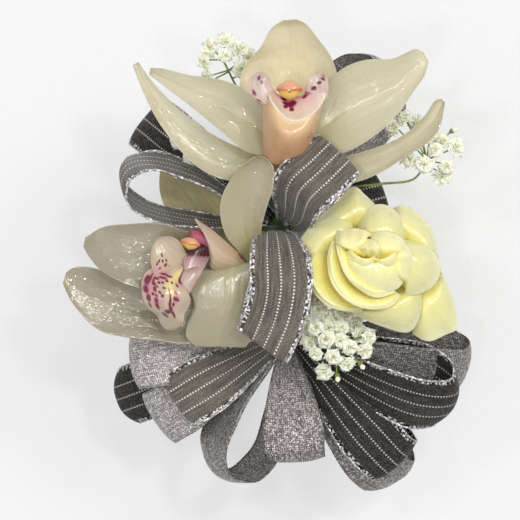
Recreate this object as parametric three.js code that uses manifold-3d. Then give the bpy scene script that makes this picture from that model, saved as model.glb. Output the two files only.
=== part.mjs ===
// Wrist corsage: two orchids and a rose on wired stems, two ribbon bows and sprigs of baby's
// breath, taped to a spine of cut stems that a clip plate holds on an elastic wristlet.
// Millimetres. +Z points away from the wrist, +Y runs along the arm, and the origin is the
// middle of the wristlet's flat underside.

import * as THREE from "three";
import { mergeVertices } from "three/addons/utils/BufferGeometryUtils.js";
import Module from "manifold-3d";

const wasm = await Module();
wasm.setup();

// Clearances
const seatGap = 0.3;
const mergeTolerance = 1e-4;

// Wristlet: a loop of woven elastic
const wristWidth = 56;
const wristHeight = 40;
const bandWidth = 22;
const bandThickness = 1.2;
const bandSideRadius = 12;
const seamLength = 8;
const seamThickness = 0.8;

// Clip plate, with four prongs folded over the stems
const plateLength = 26;
const plateWidth = 19;
const plateThickness = 0.8;
const prongWidth = 4;
const prongThickness = 0.7;
const prongPitch = 11;

// Spine of cut stems, wrapped in tape
const stemsRadius = 3.3;
const tapeThickness = 0.4;
const tapeClearance = 0.3;
const tapeLength = 42;
const stemsOverhang = 2;
const spineForward = 6;
const tieWireRadius = 0.5;
const tieWireInset = 3;

// Flowers
const orchidReach = 40;
const petalThickness = 1.1;
const columnRadius = 2.2;
const antherRadius = 2.5;
const ovaryRadius = 2.6;
const wiredStemRadius = 1.3;
const roseRadius = 17;
const rosePetalThickness = 0.9;

// Places of the flowers, from the spine's middle line at its top
const orchidTopRight = 4.3;
const orchidTopForward = 30.4;
const orchidTopLift = 16;
const orchidTopFootRight = 1.5;
const orchidTopFootForward = 22;
const orchidLeftRight = -15.2;
const orchidLeftForward = 0.5;
const orchidLeftLift = 13;
const orchidLeftFootRight = -1.5;
const roseRight = 26.7;
const roseForward = 0.5;
const roseLift = 7;
const roseFootForward = 3;
const calyxRadius = 4.2;
const calyxFlatness = 0.8;
const roseHeartShares = [[0, 0], [0.16, 0.06], [0.3, 0.38], [0.34, 0.8], [0.24, 1.1], [0, 1.18]];

// Ribbon bows
const ribbonWidth = 16;
const ribbonThickness = 0.5;
const loopReach = 40;
const waistRadius = 3;
const waistOpening = 1.2;
const lowerBowRight = 4;
const lowerBowLift = 1;
const upperBowRight = 1.6;
const upperBowForward = 10.4;
const upperBowLift = 3.4;

// Baby's breath
const sprigReach = 40;
const floretRadius = 2.1;
const sprigStemRadius = 0.55;

// Heights worked out from the sizes above
const bandTopUnder = bandThickness + wristHeight;
const bandTopOver = bandTopUnder + bandThickness;
const plateUnder = bandTopOver + seatGap;
const plateOver = plateUnder + plateThickness;
const tapeRadius = stemsRadius + tapeClearance + tapeThickness;
const spineHeight = plateOver + seatGap + tapeRadius;
const spineTop = spineHeight + tapeRadius;
const spineBack = spineForward - tapeLength / 2;
const spineFront = spineForward + tapeLength / 2;
const flatHalf = wristWidth / 2 - bandSideRadius;

// A ribbon's half width along a loop, from the bow's waist round and back, and the lower bow's
// place: its gathered waist sits against the cut ends of the stems
const gatherShares = [0.28, 0.72, 1, 1, 1, 1, 1, 0.72, 0.28];
const gatherCurls = [30, 12, 0, 0, 0, 0, 0, 12, 30];
const gatheredHalf = (gatherShares[0] * ribbonWidth) / 2;
const lowerBowForward = spineBack - stemsOverhang - gatheredHalf - seatGap;

const vec = (x, y, z) => new THREE.Vector3(x, y, z);
const scaled = (shares, size) => shares.map((point) => vec(...point).multiplyScalar(size));

// A smooth run through a list of numbers, at u from 0 to 1.
function along(values, u) {
  const last = values.length - 1;
  const place = Math.min(Math.max(u, 0), 1) * last;
  const i = Math.min(Math.floor(place), last - 1);
  const t = place - i;
  const from = values[i];
  const to = values[i + 1];
  const leave = i > 0 ? (to - values[i - 1]) / 2 : to - from;
  const arrive = i + 2 <= last ? (values[i + 2] - from) / 2 : to - from;
  const bend = 2 * (from - to) + leave + arrive;
  return from + t * (leave + t * (to - from - leave + (t - 1) * bend));
}

function alongLine(points, u) {
  return vec(
    along(points.map((p) => p.x), u),
    along(points.map((p) => p.y), u),
    along(points.map((p) => p.z), u),
  );
}

// A closed body skinned over rings of points, each ring a front row and a back row.
function skin(rings) {
  const positions = rings.flatMap((ring) => ring.flatMap((p) => [p.x, p.y, p.z]));
  const count = rings[0].length;
  const indices = [];
  const quad = (a, b, c, d) => indices.push(a, b, c, a, c, d);
  for (let i = 0; i + 1 < rings.length; i++) {
    for (let k = 0; k < count; k++) {
      const next = (k + 1) % count;
      quad(i * count + k, i * count + next, (i + 1) * count + next, (i + 1) * count + k);
    }
  }
  const end = (rings.length - 1) * count;
  for (let k = 0; k + 1 < count / 2; k++) {
    const back = count - 1 - k;
    quad(k, back, back - 1, k + 1);
    quad(end + k, end + k + 1, end + back - 1, end + back);
  }
  const geometry = new THREE.BufferGeometry();
  geometry.setAttribute("position", new THREE.Float32BufferAttribute(positions, 3));
  geometry.setIndex(indices);
  return geometry;
}

// A petal or a ribbon: a strip along a line. halves are its half widths, curls the half angles
// in degrees that its section bends through, with the edges rising on the side of the normal.
function strip(form, grow) {
  const { line, halves, thickness, rows, columns } = form;
  const curls = form.curls ?? [0, 0];
  const half = thickness / 2 + grow;
  const step = 0.01;
  const ring = (u, push) => {
    const tangent = alongLine(line, u + step).sub(alongLine(line, u - step)).normalize();
    const across = form.across ? alongLine(form.across, u) : vec(0, 0, 1).cross(tangent).negate();
    const side = across.addScaledVector(tangent, -across.dot(tangent)).normalize();
    const normal = side.clone().cross(tangent).normalize();
    const middle = alongLine(line, u).addScaledVector(tangent, push);
    const reach = Math.max(along(halves, u), thickness / 2);
    const turn = THREE.MathUtils.degToRad(along(curls, u));
    const flat = Math.abs(turn) < step;
    const point = (share, out) => {
      const v = share * (1 + grow / reach);
      const angle = flat ? 0 : turn * v;
      const sideways = flat ? reach * v : (reach / turn) * Math.sin(angle);
      const lift = flat ? 0 : (reach / turn) * (1 - Math.cos(angle));
      return middle.clone()
        .addScaledVector(side, sideways - out * Math.sin(angle))
        .addScaledVector(normal, lift + out * Math.cos(angle));
    };
    const places = Array.from({ length: columns + 1 }, (_, k) => (2 * k) / columns - 1);
    const front = places.map((v) => point(v, half));
    return front.concat(places.reverse().map((v) => point(v, -half)));
  };
  const rings = [];
  for (let i = 0; i <= rows; i++) {
    const push = i === 0 ? -grow : i === rows ? grow : 0;
    rings.push(ring(i / rows, push));
  }
  return skin(rings);
}

// A round tube along a smooth line. grow swells it and lengthens both of its ends.
function tube(points, size, steps, sides, grow) {
  const radius = size + grow;
  const last = points.length - 1;
  const start = points[0].clone().sub(points[1]).normalize();
  const end = points[last].clone().sub(points[last - 1]).normalize();
  const line = points.map((point) => point.clone());
  line[0].addScaledVector(start, grow);
  line[last].addScaledVector(end, grow);
  const section = new THREE.Shape();
  for (let k = 0; k < sides; k++) {
    const angle = (2 * Math.PI * k) / sides;
    const place = [radius * Math.cos(angle), radius * Math.sin(angle)];
    if (k === 0) section.moveTo(...place);
    else section.lineTo(...place);
  }
  section.closePath();
  const path = new THREE.CatmullRomCurve3(line);
  return new THREE.ExtrudeGeometry(section, { steps, extrudePath: path, curveSegments: 1 });
}

function solidOf(geometry) {
  const bare = geometry.clone();
  bare.deleteAttribute("normal");
  if (bare.hasAttribute("uv")) bare.deleteAttribute("uv");
  const merged = mergeVertices(bare, mergeTolerance);
  const solid = new wasm.Manifold(new wasm.Mesh({
    numProp: 3,
    vertProperties: new Float32Array(merged.attributes.position.array),
    triVerts: new Uint32Array(merged.index.array),
  }));
  if (solid.volume() > 0) return solid;
  const turned = merged.index.array;
  for (let i = 0; i < turned.length; i += 3) [turned[i], turned[i + 1]] = [turned[i + 1], turned[i]];
  return new wasm.Manifold(new wasm.Mesh({
    numProp: 3,
    vertProperties: new Float32Array(merged.attributes.position.array),
    triVerts: new Uint32Array(turned),
  }));
}

function geometryOf(solid) {
  const mesh = solid.getMesh();
  const geometry = new THREE.BufferGeometry();
  geometry.setAttribute("position", new THREE.Float32BufferAttribute(mesh.vertProperties, 3));
  geometry.setIndex(Array.from(mesh.triVerts));
  const flat = geometry.toNonIndexed();
  flat.computeVertexNormals();
  return flat;
}

function joined(geometries) {
  return geometryOf(geometries.map(solidOf).reduce((whole, part) => whole.add(part)));
}

const look = (color, roughness, metalness = 0) => ({ color, roughness, metalness });
const looks = {
  elastic: look(0x3a3538, 0.9),
  plate: look(0xb8b8b6, 0.35, 0.9),
  stems: look(0x6f8a3c, 0.7),
  tape: look(0x55713a, 0.75),
  wire: look(0x9c9c98, 0.4, 0.9),
  tepal: look(0xd9d6c4, 0.35),
  lip: look(0xe6cfc4, 0.35),
  column: look(0xdfc07c, 0.45),
  anther: look(0xe9ad3a, 0.45),
  rose: look(0xf1f0c4, 0.4),
  calyx: look(0x7d9a4c, 0.6),
  organza: look(0x67615f, 0.45, 0.3),
  lame: look(0xa19ca2, 0.35, 0.6),
  floret: look(0xecebd9, 0.6),
};

// Every piece is built twice: as itself, and grown by the gap to cut the pieces after it.
const model = new THREE.Group();
const placed = [];

function bodyGroup(place) {
  const group = new THREE.Group();
  group.position.copy(place);
  model.add(group);
  return group;
}

const wristlet = bodyGroup(vec(0, 0, 0));

function add(group, name, surface, build) {
  const place = group.position.toArray();
  let solid = solidOf(build(0)).translate(place);
  for (const other of placed) {
    const near = other.grown.boundingBox();
    const own = solid.boundingBox();
    const apart = [0, 1, 2].some((k) => near.max[k] < own.min[k] || own.max[k] < near.min[k]);
    if (!apart) solid = solid.subtract(other.grown);
  }
  const bodies = solid.decompose().sort((a, b) => b.volume() - a.volume());
  const whole = bodies[0].translate(place.map((value) => -value));
  const material = new THREE.MeshStandardMaterial(surface);
  const mesh = new THREE.Mesh(geometryOf(whole), material);
  mesh.name = name;
  group.add(mesh);
  placed.push({ name, grown: solidOf(build(seatGap)).translate(place) });
}

function box(low, high, grow) {
  const size = high.clone().sub(low).addScalar(2 * grow);
  const middle = high.clone().add(low).multiplyScalar(1 / 2);
  return new THREE.BoxGeometry(size.x, size.y, size.z).translate(middle.x, middle.y, middle.z);
}

// Wristlet
function flatBand(under, grow) {
  const half = flatHalf - seatGap / 2;
  const low = vec(-half, -bandWidth / 2, under);
  const high = vec(half, bandWidth / 2, under + bandThickness);
  return box(low, high, grow);
}

// One side of the loop: half an oval tube, swept across the band's width.
function sideBand(hand, grow) {
  const outline = new THREE.Shape();
  const middle = bandTopOver / 2;
  const start = hand * (flatHalf + seatGap / 2);
  const bends = 14;
  const wall = (radiusX, radiusZ, from, to) => {
    for (let k = 0; k <= bends; k++) {
      const angle = from + ((to - from) * k) / bends;
      const x = start + hand * radiusX * Math.cos(angle);
      const y = middle + radiusZ * Math.sin(angle);
      if (from < to && k === 0) outline.moveTo(x, y);
      else outline.lineTo(x, y);
    }
  };
  const outer = bandSideRadius + bandThickness - seatGap / 2;
  const inner = bandSideRadius - seatGap / 2;
  wall(outer + grow, middle + grow, -Math.PI / 2, Math.PI / 2);
  wall(inner - grow, wristHeight / 2 - grow, Math.PI / 2, -Math.PI / 2);
  outline.closePath();
  const depth = bandWidth + 2 * grow;
  const swept = new THREE.ExtrudeGeometry(outline, { depth, bevelEnabled: false, curveSegments: 1 });
  return swept.rotateX(Math.PI / 2).translate(0, depth / 2, 0);
}

add(wristlet, "band_underside", looks.elastic, (grow) => flatBand(0, grow));
add(wristlet, "band_top", looks.elastic, (grow) => flatBand(bandTopUnder, grow));
add(wristlet, "band_left_side", looks.elastic, (grow) => sideBand(-1, grow));
add(wristlet, "band_right_side", looks.elastic, (grow) => sideBand(1, grow));
add(wristlet, "band_seam_tab", looks.elastic, (grow) => {
  const under = bandThickness + seatGap;
  const low = vec(-seamLength / 2, -bandWidth / 2, under);
  return box(low, vec(seamLength / 2, bandWidth / 2, under + seamThickness), grow);
});

// A prong rises beside the stems and folds in over them.
function prong(hand, forward, grow) {
  const out = hand * (tapeRadius + seatGap + prongThickness);
  const over = spineTop + seatGap + prongThickness;
  const line = [
    vec(out, forward, plateUnder + plateThickness / 2),
    vec(out, forward, spineHeight),
    vec(out, forward, spineHeight + tapeRadius / 2),
    vec(hand * tapeRadius, forward, spineTop - prongThickness),
    vec(hand * prongThickness, forward, over),
  ];
  const halves = [prongWidth / 2, prongWidth / 2];
  const across = [vec(0, 1, 0), vec(0, 1, 0)];
  return strip({ line, halves, across, thickness: prongThickness, rows: 8, columns: 1 }, grow);
}

add(wristlet, "clip_plate", looks.plate, (grow) => {
  const low = vec(-plateLength / 2, -plateWidth / 2, plateUnder);
  const plate = box(low, vec(plateLength / 2, plateWidth / 2, plateOver), grow);
  const prongs = [-1, 1].flatMap((hand) => [-1, 1].map(
    (end) => prong(hand, (end * prongPitch) / 2, grow)));
  return joined([plate, ...prongs]);
});

// Spine
add(wristlet, "stem_tape", looks.tape, (grow) => {
  const bore = stemsRadius + tapeClearance - grow;
  const profile = [
    new THREE.Vector2(bore, spineBack - grow),
    new THREE.Vector2(tapeRadius + grow, spineBack - grow),
    new THREE.Vector2(tapeRadius + grow, spineFront + grow),
    new THREE.Vector2(bore, spineFront + grow),
    new THREE.Vector2(bore, spineBack - grow),
  ];
  return new THREE.LatheGeometry(profile, 16).translate(0, 0, spineHeight);
});
add(wristlet, "stem_bundle", looks.stems, (grow) => {
  const radius = stemsRadius + grow;
  const length = tapeLength + 2 * (stemsOverhang + grow);
  return new THREE.CylinderGeometry(radius, radius, length, 16)
    .translate(0, spineForward, spineHeight);
});

// A tie wire is a ring twisted tight round the taped stems.
function tieWire(forward, grow) {
  const ringRadius = tapeRadius + seatGap + tieWireRadius;
  return new THREE.TorusGeometry(ringRadius, tieWireRadius + grow, 5, 14)
    .rotateX(Math.PI / 2).translate(0, forward, spineHeight);
}

add(wristlet, "lower_tie_wire", looks.wire, (grow) => tieWire(spineBack + tieWireInset, grow));
add(wristlet, "upper_tie_wire", looks.wire, (grow) => tieWire(upperBowForward, grow));

// Orchids. Lines are shares of the orchid's reach from its middle, as seen from the front, and
// halves are shares of the same reach.
function petalForm(part, size, thickness, rows, columns) {
  return {
    line: scaled(part.lineShares, size),
    halves: part.halfShares.map((share) => share * size),
    curls: part.curls,
    across: part.acrossShares ? scaled(part.acrossShares, size) : undefined,
    thickness,
    rows,
    columns,
  };
}

function orchid(name, place, parts, foot) {
  const group = bodyGroup(place);
  const neck = vec(...parts.neckShares).multiplyScalar(orchidReach);
  add(group, `${name}_wired_stem`, looks.stems, (grow) => {
    const end = foot.clone().sub(place);
    const bend = vec(neck.x, neck.y, neck.z - (neck.z - end.z) / 2);
    const stem = tube([end, bend, neck], wiredStemRadius, 6, 8, grow);
    const ovary = new THREE.SphereGeometry(ovaryRadius + grow, 10, 8);
    return joined([stem, ovary.translate(neck.x, neck.y, neck.z)]);
  });
  add(group, `${name}_column`, looks.column, (grow) => {
    const points = scaled(parts.columnShares, orchidReach);
    return tube(points, columnRadius, 5, 8, grow);
  });
  add(group, `${name}_anther_cap`, looks.anther, (grow) => {
    const tip = vec(...parts.antherShares).multiplyScalar(orchidReach);
    return new THREE.SphereGeometry(antherRadius + grow, 10, 8).translate(tip.x, tip.y, tip.z);
  });
  add(group, `${name}_lip`, looks.lip, (grow) => strip(
    petalForm(parts.lip, orchidReach, petalThickness, 9, 5), grow));
  for (const tepal of parts.tepals) {
    add(group, `${name}_${tepal.name}`, looks.tepal, (grow) => strip(
      petalForm(tepal, orchidReach, petalThickness, 6, 3), grow));
  }
}

const topPlace = vec(orchidTopRight, orchidTopForward, spineTop + orchidTopLift);
const topFoot = vec(orchidTopFootRight, orchidTopFootForward, spineTop + seatGap);
orchid("top_orchid", topPlace, {
  neckShares: [0, 0, -0.06],
  columnShares: [[0, 0.08, 0.07], [0, 0.2, 0.17], [0, 0.32, 0.27]],
  antherShares: [0.005, 0.37, 0.32],
  lip: {
    lineShares: [[0, 0.01, 0.12], [0, 0.12, 0.25], [0, 0.24, 0.37], [0.01, 0.34, 0.46],
      [0.02, 0.31, 0.53], [0.03, 0.19, 0.51]],
    halfShares: [0.1, 0.22, 0.27, 0.25, 0.19, 0.03],
    curls: [-70, -100, -90, -60, -35, -10],
    acrossShares: [[1, 0, 0], [1, 0, 0]],
  },
  tepals: [
    { name: "left_petal",
      lineShares: [[-0.05, 0.03, 0.03], [-0.22, 0.17, 0.08], [-0.41, 0.28, 0.11],
        [-0.66, 0.42, 0.1], [-0.94, 0.54, 0.02]],
      halfShares: [0.08, 0.19, 0.165, 0.08, 0.03], curls: [30, 25, 20, 15, 10] },
    { name: "right_petal",
      lineShares: [[0.05, 0.03, 0.03], [0.24, 0.19, 0.08], [0.455, 0.32, 0.11],
        [0.66, 0.45, 0.12], [0.93, 0.61, 0.08]],
      halfShares: [0.1, 0.23, 0.25, 0.19, 0.04], curls: [30, 25, 20, 20, 20] },
    { name: "dorsal_sepal",
      lineShares: [[0, 0.05, -0.02], [0, 0.22, 0], [0, 0.44, 0.04], [0.005, 0.64, 0.12],
        [0.02, 0.86, 0.24]],
      halfShares: [0.1, 0.25, 0.33, 0.25, 0.02], curls: [30, 30, 35, 35, 20] },
    { name: "left_lateral_sepal",
      lineShares: [[-0.06, -0.04, -0.03], [-0.32, -0.08, -0.04], [-0.57, 0.07, -0.03],
        [-0.81, 0.28, 0.01], [-1.01, 0.57, 0.08]],
      halfShares: [0.07, 0.12, 0.105, 0.08, 0.02], curls: [20, 25, 30, 35, 40] },
    { name: "right_lateral_sepal",
      lineShares: [[0.06, -0.05, -0.02], [0.4, -0.13, -0.03], [0.66, -0.04, 0],
        [0.88, 0.12, 0.05], [1.03, 0.31, 0.12]],
      halfShares: [0.07, 0.11, 0.09, 0.085, 0.035], curls: [20, 25, 35, 45, 60] },
  ],
}, topFoot);

const leftPlace = vec(orchidLeftRight, orchidLeftForward, spineTop + orchidLeftLift);
const leftFoot = vec(orchidLeftFootRight, orchidLeftForward, spineTop + seatGap);
orchid("left_orchid", leftPlace, {
  neckShares: [0.2, -0.03, -0.05],
  columnShares: [[0.14, 0, 0.08], [0.02, 0.07, 0.2], [-0.09, 0.12, 0.29]],
  antherShares: [-0.13, 0.135, 0.335],
  lip: {
    lineShares: [[0.17, -0.06, 0.12], [0.03, -0.02, 0.2], [-0.12, -0.02, 0.28],
      [-0.25, -0.1, 0.36], [-0.31, -0.25, 0.36], [-0.31, -0.46, 0.24]],
    halfShares: [0.1, 0.24, 0.26, 0.2, 0.17, 0.05],
    curls: [90, 100, 90, 50, -15, -30],
  },
  tepals: [
    { name: "left_petal",
      lineShares: [[0.12, 0, 0.02], [-0.18, 0.05, 0.08], [-0.45, 0.06, 0.12],
        [-0.7, 0.09, 0.11], [-0.89, 0.13, 0.05]],
      halfShares: [0.07, 0.15, 0.21, 0.15, 0.04], curls: [30, 25, 25, 20, 20] },
    { name: "right_petal",
      lineShares: [[0.24, 0.02, 0], [0.22, 0.2, 0.07], [0.2, 0.38, 0.13], [0.24, 0.55, 0.17],
        [0.3, 0.71, 0.2]],
      halfShares: [0.06, 0.12, 0.165, 0.16, 0.04], curls: [30, 30, 30, 30, 30] },
    { name: "dorsal_sepal",
      lineShares: [[0.12, 0.07, -0.08], [-0.04, 0.25, -0.38], [-0.14, 0.42, -0.5],
        [-0.24, 0.57, -0.56], [-0.33, 0.71, -0.6]],
      halfShares: [0.06, 0.17, 0.18, 0.12, 0.02], curls: [25, 25, 25, 25, 20] },
    { name: "left_lateral_sepal",
      lineShares: [[0.1, -0.1, -0.02], [-0.2, -0.3, 0], [-0.52, -0.34, 0.02],
        [-0.78, -0.26, 0.02], [-1.01, -0.13, 0.04]],
      halfShares: [0.07, 0.19, 0.2, 0.15, 0.02], curls: [15, 20, 20, 20, 20] },
    { name: "right_lateral_sepal",
      lineShares: [[0.14, -0.13, -0.05], [0.16, -0.02, 0.03], [0.13, 0, 0.13],
        [0.09, -0.14, 0.17], [0.05, -0.35, 0.1], [0.02, -0.56, 0]],
      halfShares: [0.08, 0.18, 0.25, 0.28, 0.27, 0.1],
      acrossShares: [[1, 0.1, 0], [1, 0.1, 0]], curls: [-20, -15, -8, -8, -8, -5] },
  ],
}, leftFoot);

// Rose. Each petal stands on the calyx, wraps about the rose's axis and rolls out at its rim.
const rosePetals = [
  { name: "heart_petal_front", turn: -60, reachShare: 0.6, riseShare: 1.3, halfShare: 0.54 },
  { name: "heart_petal_back", turn: 120, reachShare: 0.6, riseShare: 1.27, halfShare: 0.54 },
  { name: "inner_petal_right", turn: 5, reachShare: 0.85, riseShare: 1.12, halfShare: 0.52 },
  { name: "inner_petal_top", turn: 80, reachShare: 0.82, riseShare: 1.1, halfShare: 0.5 },
  { name: "inner_petal_left", turn: 165, reachShare: 0.84, riseShare: 1.12, halfShare: 0.52 },
  { name: "inner_petal_bottom", turn: 265, reachShare: 0.84, riseShare: 1.1, halfShare: 0.6 },
  { name: "outer_petal_top", turn: 97, reachShare: 1.06, riseShare: 0.9, halfShare: 0.5 },
  { name: "outer_petal_right", turn: 33, reachShare: 1.08, riseShare: 0.85, halfShare: 0.52 },
  { name: "outer_petal_corner", turn: -38, reachShare: 1.6, riseShare: 0.5, halfShare: 0.5 },
  { name: "outer_petal_left", turn: 180, reachShare: 1.0, riseShare: 0.9, halfShare: 0.62 },
];
const roseSlant = 9;
const roseLineShares = { out: [0.5, 0.78, 0.9, 1], up: [0.45, 0.85, 1] };
const roseFootShares = { out: 0.16, up: 0.04, belly: 0.1 };
const roseWidthShares = [0.25, 0.7, 1, 0.95, 0.45];
const rosePlace = vec(roseRight, roseForward, spineTop + roseLift);
const rose = bodyGroup(rosePlace);

function rosePetalForm(petal) {
  const turn = THREE.MathUtils.degToRad(petal.turn);
  const slant = turn + THREE.MathUtils.degToRad(roseSlant);
  const { reachShare, riseShare, halfShare } = petal;
  const outShares = [roseFootShares.out, ...roseLineShares.out.map((share) => share * reachShare)];
  const upShares = [roseFootShares.up, roseFootShares.belly,
    ...roseLineShares.up.map((share) => share * riseShare)];
  const wrap = THREE.MathUtils.radToDeg(halfShare / reachShare);
  return {
    line: outShares.map((share, k) => vec(
      share * Math.cos(turn), share * Math.sin(turn), upShares[k]).multiplyScalar(roseRadius)),
    across: [0, 1].map(() => vec(Math.sin(slant), -Math.cos(slant), 0)),
    halves: roseWidthShares.map((share) => share * halfShare * roseRadius),
    curls: [40, wrap, wrap, wrap, wrap / 2],
    thickness: rosePetalThickness,
    rows: 6,
    columns: 4,
  };
}

add(rose, "rose_calyx_and_wired_stem", looks.calyx, (grow) => {
  const foot = vec(tapeRadius + seatGap, roseFootForward, spineHeight).sub(rosePlace);
  const knee = vec(foot.x / 2, foot.y / 2, foot.z);
  const head = vec(0, 0, -calyxRadius * calyxFlatness / 2);
  const cup = new THREE.SphereGeometry(calyxRadius + grow, 12, 8).scale(1, 1, calyxFlatness);
  return joined([tube([foot, knee, head], wiredStemRadius, 8, 8, grow), cup]);
});
add(rose, "rose_heart", looks.rose, (grow) => {
  const seat = calyxRadius * calyxFlatness + seatGap;
  const profile = roseHeartShares.map(([out, up]) => new THREE.Vector2(
    out === 0 ? 0 : out * roseRadius + grow, seat + up * roseRadius));
  return new THREE.LatheGeometry(profile, 12).rotateX(Math.PI / 2);
});
for (const petal of rosePetals) {
  add(rose, `rose_${petal.name}`, looks.rose, (grow) => strip(rosePetalForm(petal), grow));
}

// Ribbon bows. A loop leaves the bow's waist on one run and comes back on the other.
function loopForm(loop) {
  const heading = THREE.MathUtils.degToRad(loop.heading);
  const tilt = THREE.MathUtils.degToRad(loop.tilt);
  const roll = THREE.MathUtils.degToRad(loop.roll);
  const out = vec(
    Math.cos(heading) * Math.cos(tilt), Math.sin(heading) * Math.cos(tilt), Math.sin(tilt));
  const level = vec(-Math.sin(heading), Math.cos(heading), 0);
  const upright = out.clone().cross(level);
  const across = level.clone().multiplyScalar(Math.cos(roll))
    .addScaledVector(upright, Math.sin(roll));
  const lift = out.clone().cross(across).normalize();
  const length = loop.reachShare * loopReach;
  const point = (t) => out.clone()
    .multiplyScalar(waistRadius + (length - waistRadius) * Math.sin(Math.PI * t))
    .addScaledVector(lift, loop.fatShare * length * Math.sin(2 * Math.PI * t)
      + waistOpening * Math.cos(Math.PI * t));
  return {
    line: Array.from({ length: 13 }, (_, k) => point(k / 12).add(loop.bow)),
    across: [across, across],
  };
}

function ribbon(loop) {
  const shaped = loop.lineShares ? {
    line: scaled(loop.lineShares, loopReach).map((point) => point.add(loop.bow)),
    across: loop.acrossShares.map((point) => vec(...point)),
  } : loopForm(loop);
  const form = {
    ...shaped,
    halves: gatherShares.map((share) => (share * ribbonWidth) / 2),
    curls: gatherCurls,
    thickness: ribbonThickness,
    rows: 16,
    columns: loop.columns ?? 1,
  };
  add(wristlet, `${loop.name}_loop`, loop.look, (grow) => strip(form, grow));
}

const upperBow = vec(upperBowRight, upperBowForward, spineTop + upperBowLift);
const lowerBow = vec(lowerBowRight, lowerBowForward, spineHeight + lowerBowLift);
const { organza, lame } = looks;
const ribbonLoops = [
  { name: "centre_organza", look: organza, bow: upperBow,
    lineShares: [[0.06, 0.02, 0.02], [0.1, 0.06, 0.34], [0.14, 0.22, 0.56], [0.28, 0.36, 0.62],
      [0.41, 0.49, 0.56], [0.36, 0.43, 0.47], [0.2, 0.26, 0.46], [0.06, 0.12, 0.32],
      [0.02, 0.04, 0.02]],
    acrossShares: [[0.72, -0.7, 0], [0.72, -0.7, 0]] },
  { name: "front_organza", look: organza, bow: upperBow, columns: 3,
    lineShares: [[-0.02, -0.04, 0.04], [-0.01, -0.05, 0.34], [0.01, -0.2, 0.53],
      [0.02, -0.42, 0.6], [-0.02, -0.63, 0.59], [-0.1, -0.82, 0.53], [-0.05, -0.68, 0.47],
      [0, -0.43, 0.5], [0.03, -0.19, 0.46], [0.03, -0.12, 0.04]],
    acrossShares: [[1, 0, 0], [0.97, -0.2, 0], [0.76, -0.65, 0], [0.97, -0.2, 0],
      [1, 0, 0]] },
  { name: "left_silver", look: lame, bow: lowerBow,
    heading: 189, tilt: 5, roll: 0, reachShare: 1.08, fatShare: 0.11 },
  { name: "lower_left_organza", look: organza, bow: lowerBow,
    heading: 211, tilt: 12, roll: 0, reachShare: 0.9, fatShare: 0.09 },
  { name: "lower_left_silver", look: lame, bow: lowerBow,
    heading: 213, tilt: -6, roll: 0, reachShare: 1.08, fatShare: 0.1 },
  { name: "far_left_organza", look: organza, bow: lowerBow,
    heading: 201, tilt: -14, roll: 0, reachShare: 1.28, fatShare: 0.08 },
  { name: "bottom_left_silver", look: lame, bow: lowerBow,
    heading: 247, tilt: 0, roll: 62, reachShare: 1.06, fatShare: 0.17 },
  { name: "bottom_silver", look: lame, bow: lowerBow,
    heading: 274, tilt: 8, roll: 0, reachShare: 0.87, fatShare: 0.12 },
  { name: "right_organza", look: organza, bow: lowerBow,
    heading: 339, tilt: 8, roll: 35, reachShare: 1.24, fatShare: 0.15 },
  { name: "lower_right_organza", look: organza, bow: lowerBow,
    heading: 311, tilt: 0, roll: 10, reachShare: 1.16, fatShare: 0.1 },
  { name: "lower_right_silver", look: lame, bow: lowerBow,
    heading: 307, tilt: -14, roll: 20, reachShare: 1.3, fatShare: 0.1 },
  { name: "right_silver", look: lame, bow: lowerBow,
    heading: 350, tilt: -8, roll: 30, reachShare: 1.27, fatShare: 0.12 },
  { name: "upper_left_organza", look: organza, bow: upperBow,
    heading: 162, tilt: 12, roll: 72, reachShare: 1.14, fatShare: 0.14 },
  { name: "far_upper_left_organza", look: organza, bow: upperBow,
    heading: 141, tilt: -28, roll: 0, reachShare: 1.34, fatShare: 0.07 },
  { name: "top_silver", look: lame, bow: upperBow,
    heading: 57, tilt: -4, roll: 50, reachShare: 1.32, fatShare: 0.17 },
  { name: "behind_rose_organza", look: organza, bow: upperBow,
    heading: 15, tilt: -10, roll: 0, reachShare: 0.77, fatShare: 0.1 },
];
ribbonLoops.forEach(ribbon);

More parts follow.
